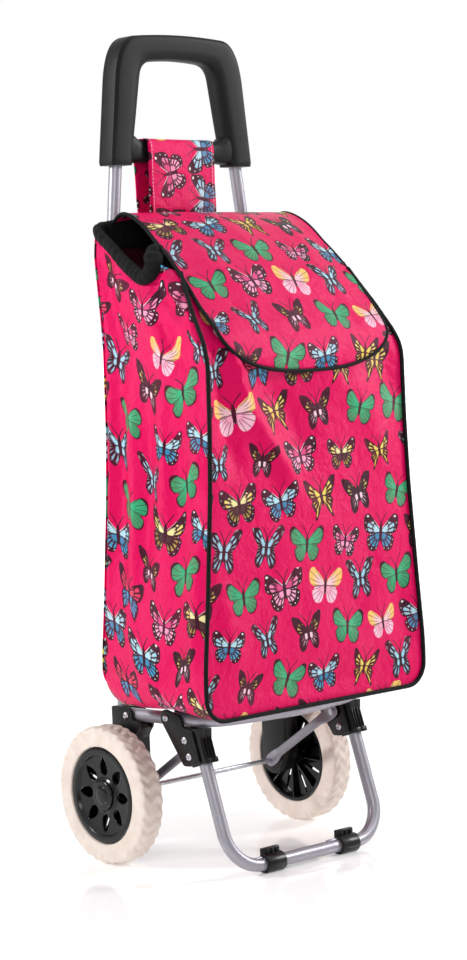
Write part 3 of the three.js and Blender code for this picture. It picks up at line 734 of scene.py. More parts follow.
def printed_cloth(net):
    """Coated polyester: a fine plain weave under a soft gloss, printed with butterflies."""
    place = net.cloth_place()
    group = bpy.data.node_groups.new("butterfly_print", "ShaderNodeTree")
    group.interface.new_socket("Place", in_out="INPUT", socket_type="NodeSocketVector")
    group.interface.new_socket("Color", in_out="OUTPUT", socket_type="NodeSocketColor")
    group.interface.new_socket("Ink", in_out="OUTPUT", socket_type="NodeSocketFloat")
    inner = Net(group)
    entry, leave = group.nodes.new("NodeGroupInput"), group.nodes.new("NodeGroupOutput")
    colour, ink = butterflies(inner, Value(inner, entry.outputs[0]))
    inner.put(leave.inputs[0], colour)
    inner.put(leave.inputs[1], ink)
    used = net.tree.nodes.new("ShaderNodeGroup")
    used.node_tree = group
    net.put(used.inputs[0], place)
    weave = net.threads(place, 0.00055)
    crumple = net.noise(net.place(), 55, 4, 0.55, 0.3)
    faded = net.between(net.noise(place, 18, 3, 0.6), 0.3, 0.8)
    printed, ink = (Value(net, socket) for socket in used.outputs)
    return {
        "Base Color": net.mix(faded * 0.1, printed, srgb("#E01A60")),
        "Roughness": 0.3 + crumple * 0.12 + ink * 0.06,
        "Specular IOR Level": 0.36,
        "Specular Tint": (1.0, 0.2, 0.5, 1.0),
        "height": weave * 0.05 + crumple * 4.0,
        "depth": 0.0007,
    }


# Each finish is a material and the record's material slot.
FINISHES = {
    name: (shader(material, build), slot)
    for name, material, slot, build in (
        ("silver", "silver_paint", "silver_paint", painted_metal("#B0AEB7", "#8B8993", 0.6, 0.4)),
        ("grey", "grey_paint", "grey_paint", painted_metal("#9C9AA3", "#7E7C86", 0.6, 0.42)),
        ("zinc", "zinc", "zinc", bright_metal),
        ("plastic", "black_plastic", "black_plastic", moulded("#060607", "#0F0F11", 0.33, 1900, 6e-5, 0.32)),
        ("grip", "black_grip", "black_plastic", moulded("#08080A", "#111114", 0.46, 1500, 14e-5, 0.2)),
        ("gloss", "black_gloss", "black_gloss", moulded("#050506", "#0A0A0B", 0.14, 700, 2e-5, 0.4)),
        ("cover", "black_cover", "black_plastic", moulded("#050506", "#0A0A0B", 0.18, 900, 3e-5, 0.4)),
        ("foam", "cream_foam", "cream_foam", foam),
        ("print", "printed_cloth", "printed_cloth", printed_cloth),
        # the bag's inner face: its own cloth, coloured very dark red as painted shade inside the bag
        ("shaded_inside", "inside_painted_shade", "printed_cloth", woven("#38060F", "#520B1A", 0.0006, 0.6, 1e-4, 0.0)),
        ("black_cloth", "black_cloth", "black_cloth", woven("#040405", "#0B0B0D", 9e-4, 0.6, 18e-5, 0.02)),
        ("stitch", "pale_thread", "printed_cloth", woven("#F2B4CC", "#FFDCE8", 0.0004, 0.6, 1e-4, 0.0)),
        ("board", "grey_board", "grey_board", fibreboard),
    )
}

# ---- Wheels ----


def wavy(angle, radius, x):
    """Zigzag waves on the tread, whose ends scallop the tyre's shoulders."""
    lobes, depth = 34, 1.9
    middle = (TYRE_X[0] + TYRE_X[1]) / 2
    across = (x - middle) / ((TYRE_X[1] - TYRE_X[0]) / 2)
    zigzag = np.abs((across * 1.5 + 10.5) % 2 - 1) * math.pi
    drift = lobes * angle + 0.5 * np.sin(7 * angle)
    wave = 0.5 - 0.5 * np.cos(drift + zigzag + 0.4 * across)
    wave = wave * (0.8 + 0.2 * np.sin(11 * angle + 3 * across))
    near_tread = step(70, 79, radius)
    shoulder = step(64, 74, radius) * (1 - step(77, 80, radius))
    inward = np.sign(middle - x) * shoulder * (0.5 - 0.5 * np.cos(drift))
    return radius - near_tread * depth * wave, x + inward


def add_tyres():
    inner, outer = TYRE_X
    bore = HUB_R + GAP
    # from the bore up the face to the tread, as radius and depth below the face
    face = [(bore, 2), (bore + 0.6, 0.7), (bore + 2, 0.2), (HUB_R + 4.5, 0)]
    face += [(radius, 0) for radius in (66, 68, 70, 72, 73.5, 75)]
    face += [(77, 0.6), (78.6, 1.9), (79.3, 3.2)]
    across = np.linspace(1, -1, 33)
    tread = [(WHEEL_R - 0.7 * abs(t) ** 3, (inner + outer) / 2 + t * 10.5) for t in across]
    profile = [(bore, inner + 2), *[(r, outer - d) for r, d in face], *tread]
    profile += [(r, inner + d) for r, d in face[::-1]]
    tyre = Shape().turned(profile, 456, shift=wavy)
    pair(tyre, "tyre", "foam", "wheel", sharp=60)


def about_axle(y, z, turn):
    """Points drawn round the origin, turned and moved to the axle."""
    c, s = math.cos(turn), math.sin(turn)
    return AXLE[0] + y * c - z * s, AXLE[1] + y * s + z * c


def leaf_width(t):
    """Half width of a hub opening from its blunt inner end, t = 0, to its pointed outer end."""
    return 16.0 * t**0.5 * (1 - t) ** 0.9


def slot_width(t):
    return 2.0 * (4 * t * (1 - t)) ** 0.35


def pierced_disc(rings, hole_ends, width, thickness, height, lip=0.0, start_turn=0.0):
    """A disc with eight openings. rings are the radii round them, and height(radius) is its outer face."""
    low, high = rings
    half, layers, openings = 20, 5, 8
    half_pitch = math.pi / openings
    on_ring = 0.2  # the share of the border's points that lie on each ring
    border, hole = [], []
    for i in range(half + 1):
        s = i / half
        if s <= on_ring:
            radius, turn = low, half_pitch * s / on_ring
        elif s <= 1 - on_ring:
            radius, turn = low + (high - low) * (s - on_ring) / (1 - 2 * on_ring), half_pitch
        else:
            radius, turn = high, half_pitch * (1 - s) / on_ring
        border.append((radius * math.cos(turn), radius * math.sin(turn)))
        t = 0.5 - 0.5 * math.cos(math.pi * s)
        hole.append((hole_ends[0] + (hole_ends[1] - hole_ends[0]) * t, width(t)))
    border, hole = np.array(border)[:, None], np.array(hole)[:, None]
    spread = (np.arange(layers + 1) / layers)[:, None] ** 1.6
    face = hole + (border - hole) * spread
    edge = np.where(np.arange(layers + 1) == 0, lip, 0.0)
    shape = Shape()
    for number in range(openings):
        for side in (1, -1):
            y, z = face[:, :, 0], face[:, :, 1] * side
            front = height(np.hypot(y, z))
            y, z = about_axle(y, z, start_turn + number * 2 * half_pitch)
            top = np.stack([front - edge, y, z], axis=-1)
            under = np.stack([front - thickness, y, z], axis=-1)
            shape.add(top, grid(half + 1, layers + 1))
            shape.add(under, grid(half + 1, layers + 1))
            shape.add(np.stack([top[:, 0], under[:, 0]], axis=1), grid(half + 1, 2))
    return shape


def cover_face(radius):
    return along([(14, 157.7), (19, 157.4), (21, 156.3), (24, 156.4), (42, 157.9), (45.6, 158.4)], radius)


def web_face(radius):
    return 141.6 + 0.07 * (radius - 13)


def add_hubs():
    cover = pierced_disc((20.5, 45.6), (22.6, 44.2), leaf_width, 1.7, cover_face, lip=0.25)
    rim = [
        (45.6, 158.4), (46.1, 159.0), (46.9, 161.0), (47.5, 161.6), (48.2, 161.8), (54.3, 161.6),
        (55.2, 161.2), (55.5, 160.6), (55.5, 159.2), (48, 158.9), (45.6, 156.7),
    ]
    cover.turned(rim, 64)
    top = cover_face(20.5)
    middle = [(20.5, top), (19, 157.7), (18.2, 158.2), (14, 158.2), (14, 156.2), (20.5, top - 1.7)]
    cover.turned(middle, 64)
    pair(cover, "hub_cover", "cover", "wheel", sharp=32)

    cap = [
        (0, 163.2), (3, 163.15), (6, 162.9), (9, 162.4), (10.6, 161.9), (11.2, 161.45), (11.8, 161.4),
        (15.6, 161.5), (16.8, 161.2), (17.5, 160.5), (17.6, 159.4), (17.6, 158.8), (12, 158.8), (11, 160.2),
        (0, 160.4),
    ]
    pair(Shape().turned(cap, 72), "hub_cap", "cover", "wheel", sharp=40)

    # the slots lie halfway between the cover's openings
    web = pierced_disc((13.2, 50.8), (17.5, 48.6), slot_width, 2.0, web_face, start_turn=math.pi / 8)
    ring = [
        (50.8, 141.6), (50.9, 135.2), (51.4, 134.3), (52.2, 134), (55, 134), (55.8, 134.4), (56, 135.2),
        (56, 158), (55.5, 158.5), (52.6, 158.5), (52, 158), (50.8, 146),
    ]
    web.turned(ring + ring[:1], 96)
    boss = [
        (3.35, 131), (10.8, 131), (11.7, 131.5), (12, 132.4), (13.2, 139.2), (13.2, 142), (12, 156.6),
        (11.6, 157), (3.35, 157),
    ]
    web.turned(boss + boss[:1], 48)
    outline = rounded([(12, -1.1, 0.4), (51, -1.1, 0.4), (51, 1.1, 0.4), (12, 1.1, 0.4)], 2)
    for number in range(8):
        # a rib between each pair of slots, on the wheel's inner side
        rib = Shape().plate(outline, (135.4, 141.2), 0.5)
        x, y, z = rib.points.T
        dip = 1.6 * np.sin(np.clip((y - 12) / 39, 0, 1) * math.pi) * (x < 138)
        web.add(np.column_stack([x + dip, *about_axle(y, z, number * math.pi / 4)]), rib.faces)
    pair(web, "wheel_hub", "gloss", "wheel", sharp=32)


def add_axle():
    rod = [(0, -160), (2.4, -160), (3, -159.4), (3, 159.4), (2.4, 160), (0, 160)]
    Shape().turned(rod, 40).make("axle_look", "zinc", "root", "axle")
    washer = [(3.35, 128), (7.6, 128), (8, 128.4), (8, 130), (7.6, 130.4), (3.35, 130.4), (3.35, 128)]
    pair(Shape().turned(washer, 48), "axle_washer", "zinc", "root")
    nut = [(3.35, 157.4), (7, 157.4), (6.6, 158.6), (5, 159), (3.35, 158.8), (3.35, 157.4)]
    pair(Shape().turned(nut, 48), "push_nut", "zinc", "root")


# ---- Frame ----


def rivet(centre, ends, heads="both"):
    """A tubular rivet with domed heads and a hollow in the middle of each."""
    x0, x1 = ends
    head = [
        (0, 0.35), (1.1, 0.35), (1.5, 0.9), (1.9, 1.55), (2.6, 1.8), (3.4, 1.5), (4.1, 0.8), (4.4, 0.15),
        (4.4, 0),
    ]
    profile = [(r, x1 + h) for r, h in head] + [(2.4, x1)]
    if heads == "both":
        profile += [(2.4, x0)] + [(r, x0 - h) for r, h in head[::-1]]
    else:
        profile += [(2.4, x0), (0, x0)]
    return Shape().turned(profile, 32, centre)


def upright_path():
    bend = np.array([FRAME_X, UPRIGHT_Y, UPRIGHT_BEND_Z], float)
    top = np.array(UPRIGHT_TOP, float)
    into = bend - (0, 0, 40)
    out = bend + (top - bend) / np.linalg.norm(top - bend) * 40
    foot = np.array([[FRAME_X, UPRIGHT_Y, 92], [FRAME_X, UPRIGHT_Y, 320]], float)
    return np.vstack([foot, bezier([into, bend, out], 14), top[None]])


def rear_bracket():
    lower = [(y, z, 0) for y, z in arc((1.5, 80), 17, 0, -math.pi * 0.83, 22)]
    ear = [(-22, 92, 3), (-22, 146, 5), (-31, 156.5, 3), (-31, 164, 2.5), (-19.5, 164.5, 1)]
    lobe = [(y, z, 0) for y, z in arc(SHELF_PIVOT, 11, math.pi * 1.08, math.pi * 0.55, 14)]
    top = (18.5, 177.6, 2)
    cheek = rounded([*lower, *ear, *lobe, top], 4)
    slot = [(-27, 161.1, 0.5), (-14.5, 161.1, 0.5), (-14, 159.4, 0.5), (1.4, 159.4, 0.5), (1.4, 177, 0.5)]
    web = rounded([*lower, (-22, 92, 3), (-22, 146, 5), (-28.5, 153.5, 2), *slot, top], 4)
    bracket = Shape().plate(cheek, CHEEK_IN, 0.7).plate(cheek, CHEEK_OUT, 0.9)
    bracket.plate(web, (CHEEK_IN[1] - 0.8, CHEEK_OUT[0] + 0.8), 0.5)
    # a raised boss round the axle
    bracket.turned([(3.35, 127), (3.35, 127.9), (9, 127.9), (9.6, 127.2), (9.6, 127)], 40)
    return bracket


def add_uprights():
    path = upright_path()
    tube = Shape().tube(path, circle(TUBE_R, 40))
    pair(tube, "upright_tube", "silver", "root")
    pair(rear_bracket(), "rear_bracket", "plastic", "root")
    grip = (CHEEK_IN[0] - GAP, CHEEK_OUT[1] + GAP)
    pair(rivet(SHELF_PIVOT, grip), "rear_rivet", "zinc", "root")


def handle_stations():
    """Matching points up the outside and the inside of the handle's loop, as [x, z] pairs."""
    outside = np.vstack([
        [(107, 800), (105, 820)],
        bezier([(97.5, 890), (92.5, 946), (66, 948)], 18),
        bezier([(66, 948), (33, 951), (0, 951)], 8)[1:],
    ])
    inside = np.vstack([
        [(73.5, 800), (72, 815)],
        bezier([(69.5, 832), (63, 866), (57.5, 902)], 6),
        bezier([(57.5, 902), (54.5, 918), (38, 920)], 12)[1:],
        bezier([(38, 920), (19, 922), (0, 922)], 6)[1:],
    ])
    count = 60
    outside, inside = even(outside, count), even(inside, count)
    other = [np.column_stack([-s[::-1, 0], s[::-1, 1]])[1:] for s in (outside, inside)]
    return np.vstack([outside, other[0]]), np.vstack([inside, other[1]])


def add_handle():
    outside, inside = handle_stations()
    deep = HANDLE_DEPTH / 2
    # one half of the section, from the outside, -1, to the inside, 1, and how far it lies below the front:
    # a flat face, an edge line and a rounded grip side
    half_section = [
        (-1, 3.4), (-0.985, 2.2), (-0.93, 1.5), (-0.86, 0.9), (-0.8, 0.25), (-0.7, 0), (-0.3, 0), (0.2, 0),
        (0.5, 0.4), (0.72, 1.6), (0.88, 3.6), (0.97, 6.4), (1, 10),
    ]
    across, below = np.array(half_section + half_section[::-1]).T
    front_to_back = np.where(np.arange(len(below)) < len(half_section), below - deep, deep - below)
    rings = []
    for outer, inner in zip(outside, inside):
        flat = (outer + inner) / 2 + across[:, None] * (inner - outer) / 2
        rings.append(np.column_stack([flat[:, 0], HANDLE_Y + front_to_back, flat[:, 1]]))
    # the ends are drawn in a little, so that they read as moulded lips
    for end in (0, -1):
        centre = rings[end].mean(axis=0)
        rings[end] = centre + (rings[end] - centre) * (0.95, 0.93, 1)
    handle = Shape().loft(rings)
    # the crossbar, which flares where it meets the sides
    under, over = CROSSBAR_Z
    bars = []
    for x in np.linspace(-76, 76, 41):
        flare = float(step(52, 74, abs(x)))
        low, high = under - 1.5 * flare, over + 9 * flare**2.2
        y, z = superellipse(11.2 + 1.3 * flare, (high - low) / 2, 3.2, 36).T
        bars.append(np.column_stack([np.full(36, x), HANDLE_Y + y, (low + high) / 2 + z]))
    handle.loft(bars)
    # sockets' inner lips, a small step at the lower inner corners
    for side in (1, -1):
        path = [(side * 90.3, HANDLE_Y, 801), (side * 90.0, HANDLE_Y, 806)]
        handle.tube(path, superellipse(16.2, 12.4, 5, 40))
    handle.make("handle_grip_look", "grip", "root", "handle_grip", sharp=24)

    rear = HANDLE_Y + deep + GAP
    head = [(0, 0.9), (1.2, 0.9), (1.2, 1.9), (1.9, 1.8), (3.0, 1.3), (3.6, 0.4), (3.6, 0), (0, 0)]
    screw = Shape().turned(head, 32, (0, 0))
    x, y, z = screw.points.T
    screw.points = np.column_stack([90 + y, rear + x, 815 + z])
    pair(screw, "handle_screw", "zinc", "root")


def shelf_z(y):
    return SHELF_PIVOT[1] + SHELF_SLOPE * (SHELF_PIVOT[0] - y)


def add_shelf():
    bend = [(113.8, -121), (106, -136), (89, -146.5), (60, -153.5), (30, -160)]
    half = [(x, y, shelf_z(y)) for x, y in [(116, -3), (116, -50), (116, -102), *bend]]
    middle = (0, SHELF_FRONT_Y, shelf_z(SHELF_FRONT_Y))
    path = spline([*half, middle, *[(-x, y, z) for x, y, z in half[::-1]]], 150)
    tube = Shape().tube(path, circle(TUBE_R, 40), up=(0, 0, 1))
    tube.make("shelf_tube_look", "silver", "shelf", "shelf_tube")


# ---- Leg ----


def on_leg(s, t):
    """A point s down the leg from its socket's mouth and t in front of its centre line, as y, z."""
    (y, z), (down_y, down_z) = SOCKET_MOUTH, LEG_DOWN
    return y + s * down_y + t * down_z, z + s * down_z - t * down_y


LEG_LENGTH = (SOCKET_MOUTH[1] - FOOT_Z) / -LEG_DOWN[1]
FOOT_Y = on_leg(LEG_LENGTH, 0)[0]


def add_leg_tube():
    def at(x, s):
        return (x, *on_leg(s, 0))

    curve = FOOT_BEND * 0.5523  # a Bezier corner with those handles is round
    low, near = LEG_LENGTH, FRAME_X - FOOT_BEND
    into = [at(FRAME_X, low - FOOT_BEND), at(FRAME_X, low - FOOT_BEND + curve)]
    out = [at(near + curve, low), at(near, low)]
    half = np.vstack([[at(FRAME_X, -SOCKET_LENGTH)], [at(FRAME_X, 20)], bezier([*into, *out], 26)])
    path = np.vstack([half, half[::-1] * (-1, 1, 1)])
    leg = Shape().tube(path, circle(TUBE_R, 40), up=(0, 1, 0))
    # small stops beside the clips
    outline = rounded([(-2.2, 0, 0.5), (2.2, 0, 0.5), (1.6, 1.9, 0.8), (-1.6, 1.9, 0.8)], 3)
    for x in (-CLIP_X, CLIP_X):
        stop = Shape().plate(outline, (x - 30, x - 16), 0.5)
        leg.add(stop.points + (0, FOOT_Y, FOOT_Z + TUBE_R - 0.4), stop.faces)
    leg.make("leg_tube_look", "silver", "leg", "leg_tube")


def add_front_brackets():
    y, z = LEG_PIVOT
    lobe = [(a, b, 0) for a, b in arc((y, z), 9.5, -0.55, math.pi * 0.6, 14)]
    heel = [(*on_leg(-38, 4), 3), (*on_leg(-2.4, 4), 1.5), (*on_leg(-1.6, -14), 2), (*on_leg(-4.5, -25), 2.5)]
    cheek = rounded([*lobe, (-104, 179, 3), (-109, 166.6, 2), (-119, 164, 2), *heel], 4)
    under_shelf = [(y, shelf_z(y) - 7.9) for y in (-110, -136)]
    web = [on_leg(0, -14), on_leg(-37, -14), *under_shelf, on_leg(-26, 11), on_leg(0, 11)]
    for name, plate, block, ridge_x in (
        ("outer", CHEEK_OUT, (FRAME_X + GAP / 2, CHEEK_OUT[0] + 0.6), (118.4, 122.2)),
        ("inner", CHEEK_IN, (CHEEK_IN[1] - 0.6, FRAME_X - GAP / 2), (109.8, 113.4)),
    ):
        half = Shape().plate(cheek, plate, 0.8).plate(web, block, 0.4)
        # ribs down the front of the socket and a lip round its mouth
        for x in ridge_x:
            rib = [on_leg(-33, 10.4), on_leg(-3, 10.4), on_leg(-3, 12.3), on_leg(-31, 12.3)]
            half.plate(rounded([(*p, 0.5) for p in rib], 2), (x - 0.9, x + 0.9), 0.4)
        lip = [on_leg(-5.5, 9), on_leg(0.6, 9), on_leg(0.6, 13), on_leg(-5.5, 13)]
        ends = (block[0], block[1] + 0.5) if name == "outer" else (block[0] - 0.5, block[1])
        half.plate(rounded([(*p, 0.8) for p in lip], 3), ends, 0.5)
        pair(half, f"front_bracket_{name}", "plastic", "leg")
    grip = (CHEEK_IN[0] - GAP, CHEEK_OUT[1] + GAP)
    pair(rivet(LEG_PIVOT, grip), "leg_pivot_rivet", "zinc", "leg")
    one_headed = rivet(BRACE_PIVOT, (CHEEK_IN[0], grip[1]), "outer")
    pair(one_headed, "brace_side_rivet", "zinc", "leg")
    pair(rivet(on_leg(-12.5, -11.4), grip), "socket_rivet", "zinc", "leg")


def add_foot_clips():
    """Each clip wraps round the foot bar, with a flat under it and an upright tab behind."""
    reach = (CLIP_X - CLIP_LENGTH / 2, CLIP_X + CLIP_LENGTH / 2)
    start, end = math.radians(62), math.radians(392)
    outer = arc((0, 0), CLIP_R, start, end, 56)
    outer[:, 1] = np.maximum(outer[:, 1], -FOOT_Z)
    inner = arc((0, 0), TUBE_R + 0.25, start, end, 56)[::-1]
    band = np.vstack([outer, inner]) + (FOOT_Y, FOOT_Z)
    clip = Shape().plate(band, reach, 0.5)
    tab = [(0.6, 6.2, 0.5), (6.4, 5.0, 0.5), (6.4, 16, 1.2), (5.6, 17, 1), (1.4, 17, 1), (0.6, 16, 1)]
    tab = [(FOOT_Y + a, FOOT_Z + b, r) for a, b, r in tab]
    clip.plate(rounded(tab, 4), (reach[0] + 1, reach[1] - 1), 0.7)
    for x in (reach[0] + 6, CLIP_X, reach[1] - 6):
        rib = [(0.4, 9), (-1.2, 9.5), (-0.6, 15.5), (1.2, 15.5)]
        outline = rounded([(FOOT_Y + a, FOOT_Z + b, 0.3) for a, b in rib], 2)
        clip.plate(outline, (x - 0.8, x + 0.8), 0.3)
    pair(clip, "foot_clip", "plastic", "leg")


def add_braces():
    """Round tube with both ends pressed flat."""
    start, end = np.array(AXLE, float), np.array(BRACE_PIVOT, float)
    length = np.linalg.norm(end - start)
    ahead = (end - start) / length
    aside = np.array([-ahead[1], ahead[0]])
    places = np.r_[-8.0, -7.4, -6, -4, 0, 5, 9, 12, 15, 19, 24, 30, 40, length / 2]
    places = np.r_[places, (length - places[:-1])[::-1]]
    rings = []
    for s in places:
        from_end = min(s, length - s)
        opened = float(step(8, 26, from_end))
        end_curve = math.sqrt(max(0.02, 1 - (min(from_end, 0) / 8.3) ** 2))
        tall = (8 * end_curve) * (1 - opened) + 5.4 * opened
        thick = 0.8 * (1 - opened) + 4.0 * opened
        middle_x = 101.0 * (1 - opened) + 97.8 * opened
        outline = superellipse(thick, tall, 5 - 2.8 * opened, 36)
        spots = start + ahead * s + outline[:, 1:] * aside
        rings.append(np.column_stack([middle_x + outline[:, 0], spots]))
    pair(Shape().loft(rings), "brace", "grey", "braces", sharp=50)
    pin = [
        (0, 98.2), (2.6, 98.2), (4.2, 98.7), (4.4, 99.8), (2.4, 99.8), (2.4, 102.2), (4.4, 102.2),
        (4.4, 103.8), (2.4, 104.1), (0, 104.1),
    ]
    pair(Shape().turned(pin, 32, BRACE_PIVOT), "brace_pin", "zinc", "braces")


# ---- Bag ----

SIDE_ROWS, CORNER_ROWS, BASE_COLUMNS, DEPTH_ROWS = 64, 9, 44, 40
RIM = [
    (0, 672), (0.1, 683), (0.2, 681), (0.28, 672), (0.344, 668.5), (0.455, 673), (0.6, 687), (0.77, 705),
    (0.9, 716), (1, 724),
]
# how far the front seams lean in under the flap
SEAM_PULL = [(585, 0), (610, 4), (632, 8), (653, 14), (676, 20)]
# folds as [start, end, width, height of the ridge]: the panels' are in x, z and the sides' in y, z
FRONT_FOLDS = [
    ((-122, 622), (-98, 520), 9, 8.0), ((-104, 545), (-22, 418), 10, 7.5),
    ((-132, 590), (-112, 450), 12, -6.0), ((-70, 560), (6, 462), 20, -5.0),
    ((66, 568), (122, 430), 24, 4.0), ((-142, 340), (-118, 225), 15, 3.2), ((-30, 260), (90, 235), 24, 2.6),
    ((128, 330), (148, 225), 15, -3.4), ((0, 600), (66, 520), 24, 4.0), ((20, 420), (-66, 320), 30, 3.2),
    ((94, 390), (58, 255), 26, -3.0), ((-135, 213), (130, 210), 13, -2.4),
    ((-20, 600), (-20, 548), 16, -2.5), ((110, 600), (134, 520), 14, -3.0),
]
SIDE_FOLDS = [
    ((-24, 650), (-27, 240), 8, 5.0), ((-46, 610), (-50, 320), 14, -5.5), ((-70, 560), (-76, 290), 10, 4.6),
    ((-98, 540), (-94, 320), 13, -4.6), ((-126, 590), (-124, 370), 12, 4.4),
    ((-150, 520), (-148, 250), 14, -4.4), ((-182, 400), (-180, 236), 9, 4.2),
    ((-170, 590), (-178, 420), 11, 3.0), ((-113, 694), (-137, 652), 5.5, 8.0),
    ((-132, 660), (-167, 624), 5.5, 8.5), ((-160, 631), (-193, 590), 5.5, 7.0),
    ((-100, 668), (-138, 636), 5.5, -5.5), ((-134, 637), (-182, 622), 5.5, -5.0),
    ((-86, 660), (-150, 560), 13, 5.0), ((-44, 690), (-112, 596), 15, 4.4),
    ((-20, 700), (-60, 560), 12, -4.5), ((-110, 640), (-172, 548), 9, -4.5),
    ((-60, 300), (-110, 213), 17, 3.6), ((-160, 262), (-118, 203), 13, -3.4),
    ((-30, 250), (-70, 205), 12, 2.4),
]
BACK_FOLDS = [((-90, 640), (-60, 300), 24, 1.5), ((80, 660), (100, 320), 20, 1.5)]
FLAP_FOLDS = [
    ((-110, 60), (-60, 190), 16, 2.4), ((-90, 30), (-20, 150), 14, -1.8), ((100, 60), (60, 200), 18, 1.8),
    ((-30, 40), (20, 160), 22, 1.2), ((40, 170), (90, 260), 20, -1.4), ((-95, 180), (-40, 270), 18, -1.5),
]
# each wave of the cloth, as radians per millimetre one way and the other, and its size
RIPPLES = [(0.031, 0.011, 1.0), (-0.017, 0.039, 0.8), (0.061, -0.027, 0.45), (0.09, 0.071, 0.25)]


def half_width(z):
    return eased(HALF_WIDTH, z, 14)


def front_y(z):
    return eased(FRONT_LINE, z, 16)


def back_y(z):
    return eased(BACK_LINE, z, 20)


def ridges(a, b, folds):
    """How far a panel stands out at a, b over its folds."""
    total = np.zeros_like(a)
    for (a0, b0), (a1, b1), width, height in folds:
        run = np.array([a1 - a0, b1 - b0], float)
        length = np.linalg.norm(run)
        share = ((a - a0) * run[0] + (b - b0) * run[1]) / length**2
        off = ((a - a0) * run[1] - (b - b0) * run[0]) / length
        off = off + 0.12 * width * np.sin(share * 7 + a0)
        taper = step(-0.12, 0.3, share) * (1 - step(0.7, 1.12, share))
        total = total + 1.25 * height * taper * np.exp(-(np.abs(off / width) ** 1.6))
    return total


def ripple(a, b, seed):
    """Small soft unevenness of cloth."""
    wave = np.zeros_like(a)
    for i, (along_a, along_b, size) in enumerate(RIPPLES):
        wave = wave + size * np.sin(along_a * a + along_b * b + seed * (i + 1.7))
    return wave


def section(t):
    """The bag's U-shaped section at a share t of its depth: points down one side, across the base and up the
    other, with how far along it each is."""
    y_base = FRONT_Y + t * (BACK_Y - FRONT_Y)
    past = max(0.0, y_base - (BACK_Y - REAR_CORNER_R))
    rise = REAR_CORNER_R - math.sqrt(max(0.0, REAR_CORNER_R**2 - past**2))
    lift = 3.0 * math.exp(-(((y_base + 118) / 34) ** 2)) * (1 - (2 * t - 1) ** 4)
    z0 = BASE_Z + rise + lift
    rim = float(eased(RIM, t, 0.04))
    k = np.linspace(1, 0, SIDE_ROWS + 1)
    z_side = z0 + CORNER_R + k * (rim - z0 - CORNER_R)
    x_side = half_width(z_side)
    turn = np.linspace(0, math.pi / 2, CORNER_ROWS + 1)[1:]
    wide = float(x_side[-1])
    z_arc = z0 + CORNER_R * (1 - np.sin(turn))
    x_arc = wide - CORNER_R * (1 - np.cos(turn))
    x_base = np.linspace(-x_arc[-1], x_arc[-1], BASE_COLUMNS + 1)
    x_side = x_side - along(SEAM_PULL, z_side) * (1 - step(0, 0.32, t))
    x_side = x_side - 4.5 * step(690, 727, z_side) * step(0.86, 1, t)
    x = np.r_[-x_side, -x_arc, x_base[1:-1], x_arc[::-1], x_side[::-1]]
    z = np.r_[z_side, z_arc, np.full(BASE_COLUMNS - 1, z_arc[-1]), z_arc[::-1], z_side[::-1]]
    front, back = front_y(z), back_y(z)
    at_base = np.clip((z0 + CORNER_R - z) / CORNER_R, 0, 1)
    y = (front + t * (back - front)) * (1 - at_base) + y_base * at_base
    return np.column_stack([x, y, z]), run_along(np.column_stack([x, z]))


def shaped_side(points, t):
    """A gusset section with its fullness, folds and slack."""
    x, y, z = points.T
    middle = 4 * t * (1 - t)
    upright = step(BASE_Z + 4, BASE_Z + 60, z)
    full = 3.2 * middle * upright * (1 - step(560, 690, z))
    off_seams = upright * step(0, 0.06, t) * (1 - step(0.94, 1, t))
    out = full + off_seams * (ridges(y, z, SIDE_FOLDS) + 0.5 * ripple(y, z, 2.0))
    droop = -5.0 * middle * step(600, 665, z) * np.exp(-(((y + 96) / 40) ** 2))
    side = np.sign(x) * step(60, 120, np.abs(x))
    moved = points.copy()
    moved[:, 0] += side * (out + droop)
    under = (1 - upright) * middle
    moved[:, 2] += -1.6 * under * (0.5 + 0.5 * np.cos(x / 42.0)) + 0.4 * under * ripple(x, y, 4.0)
    return moved


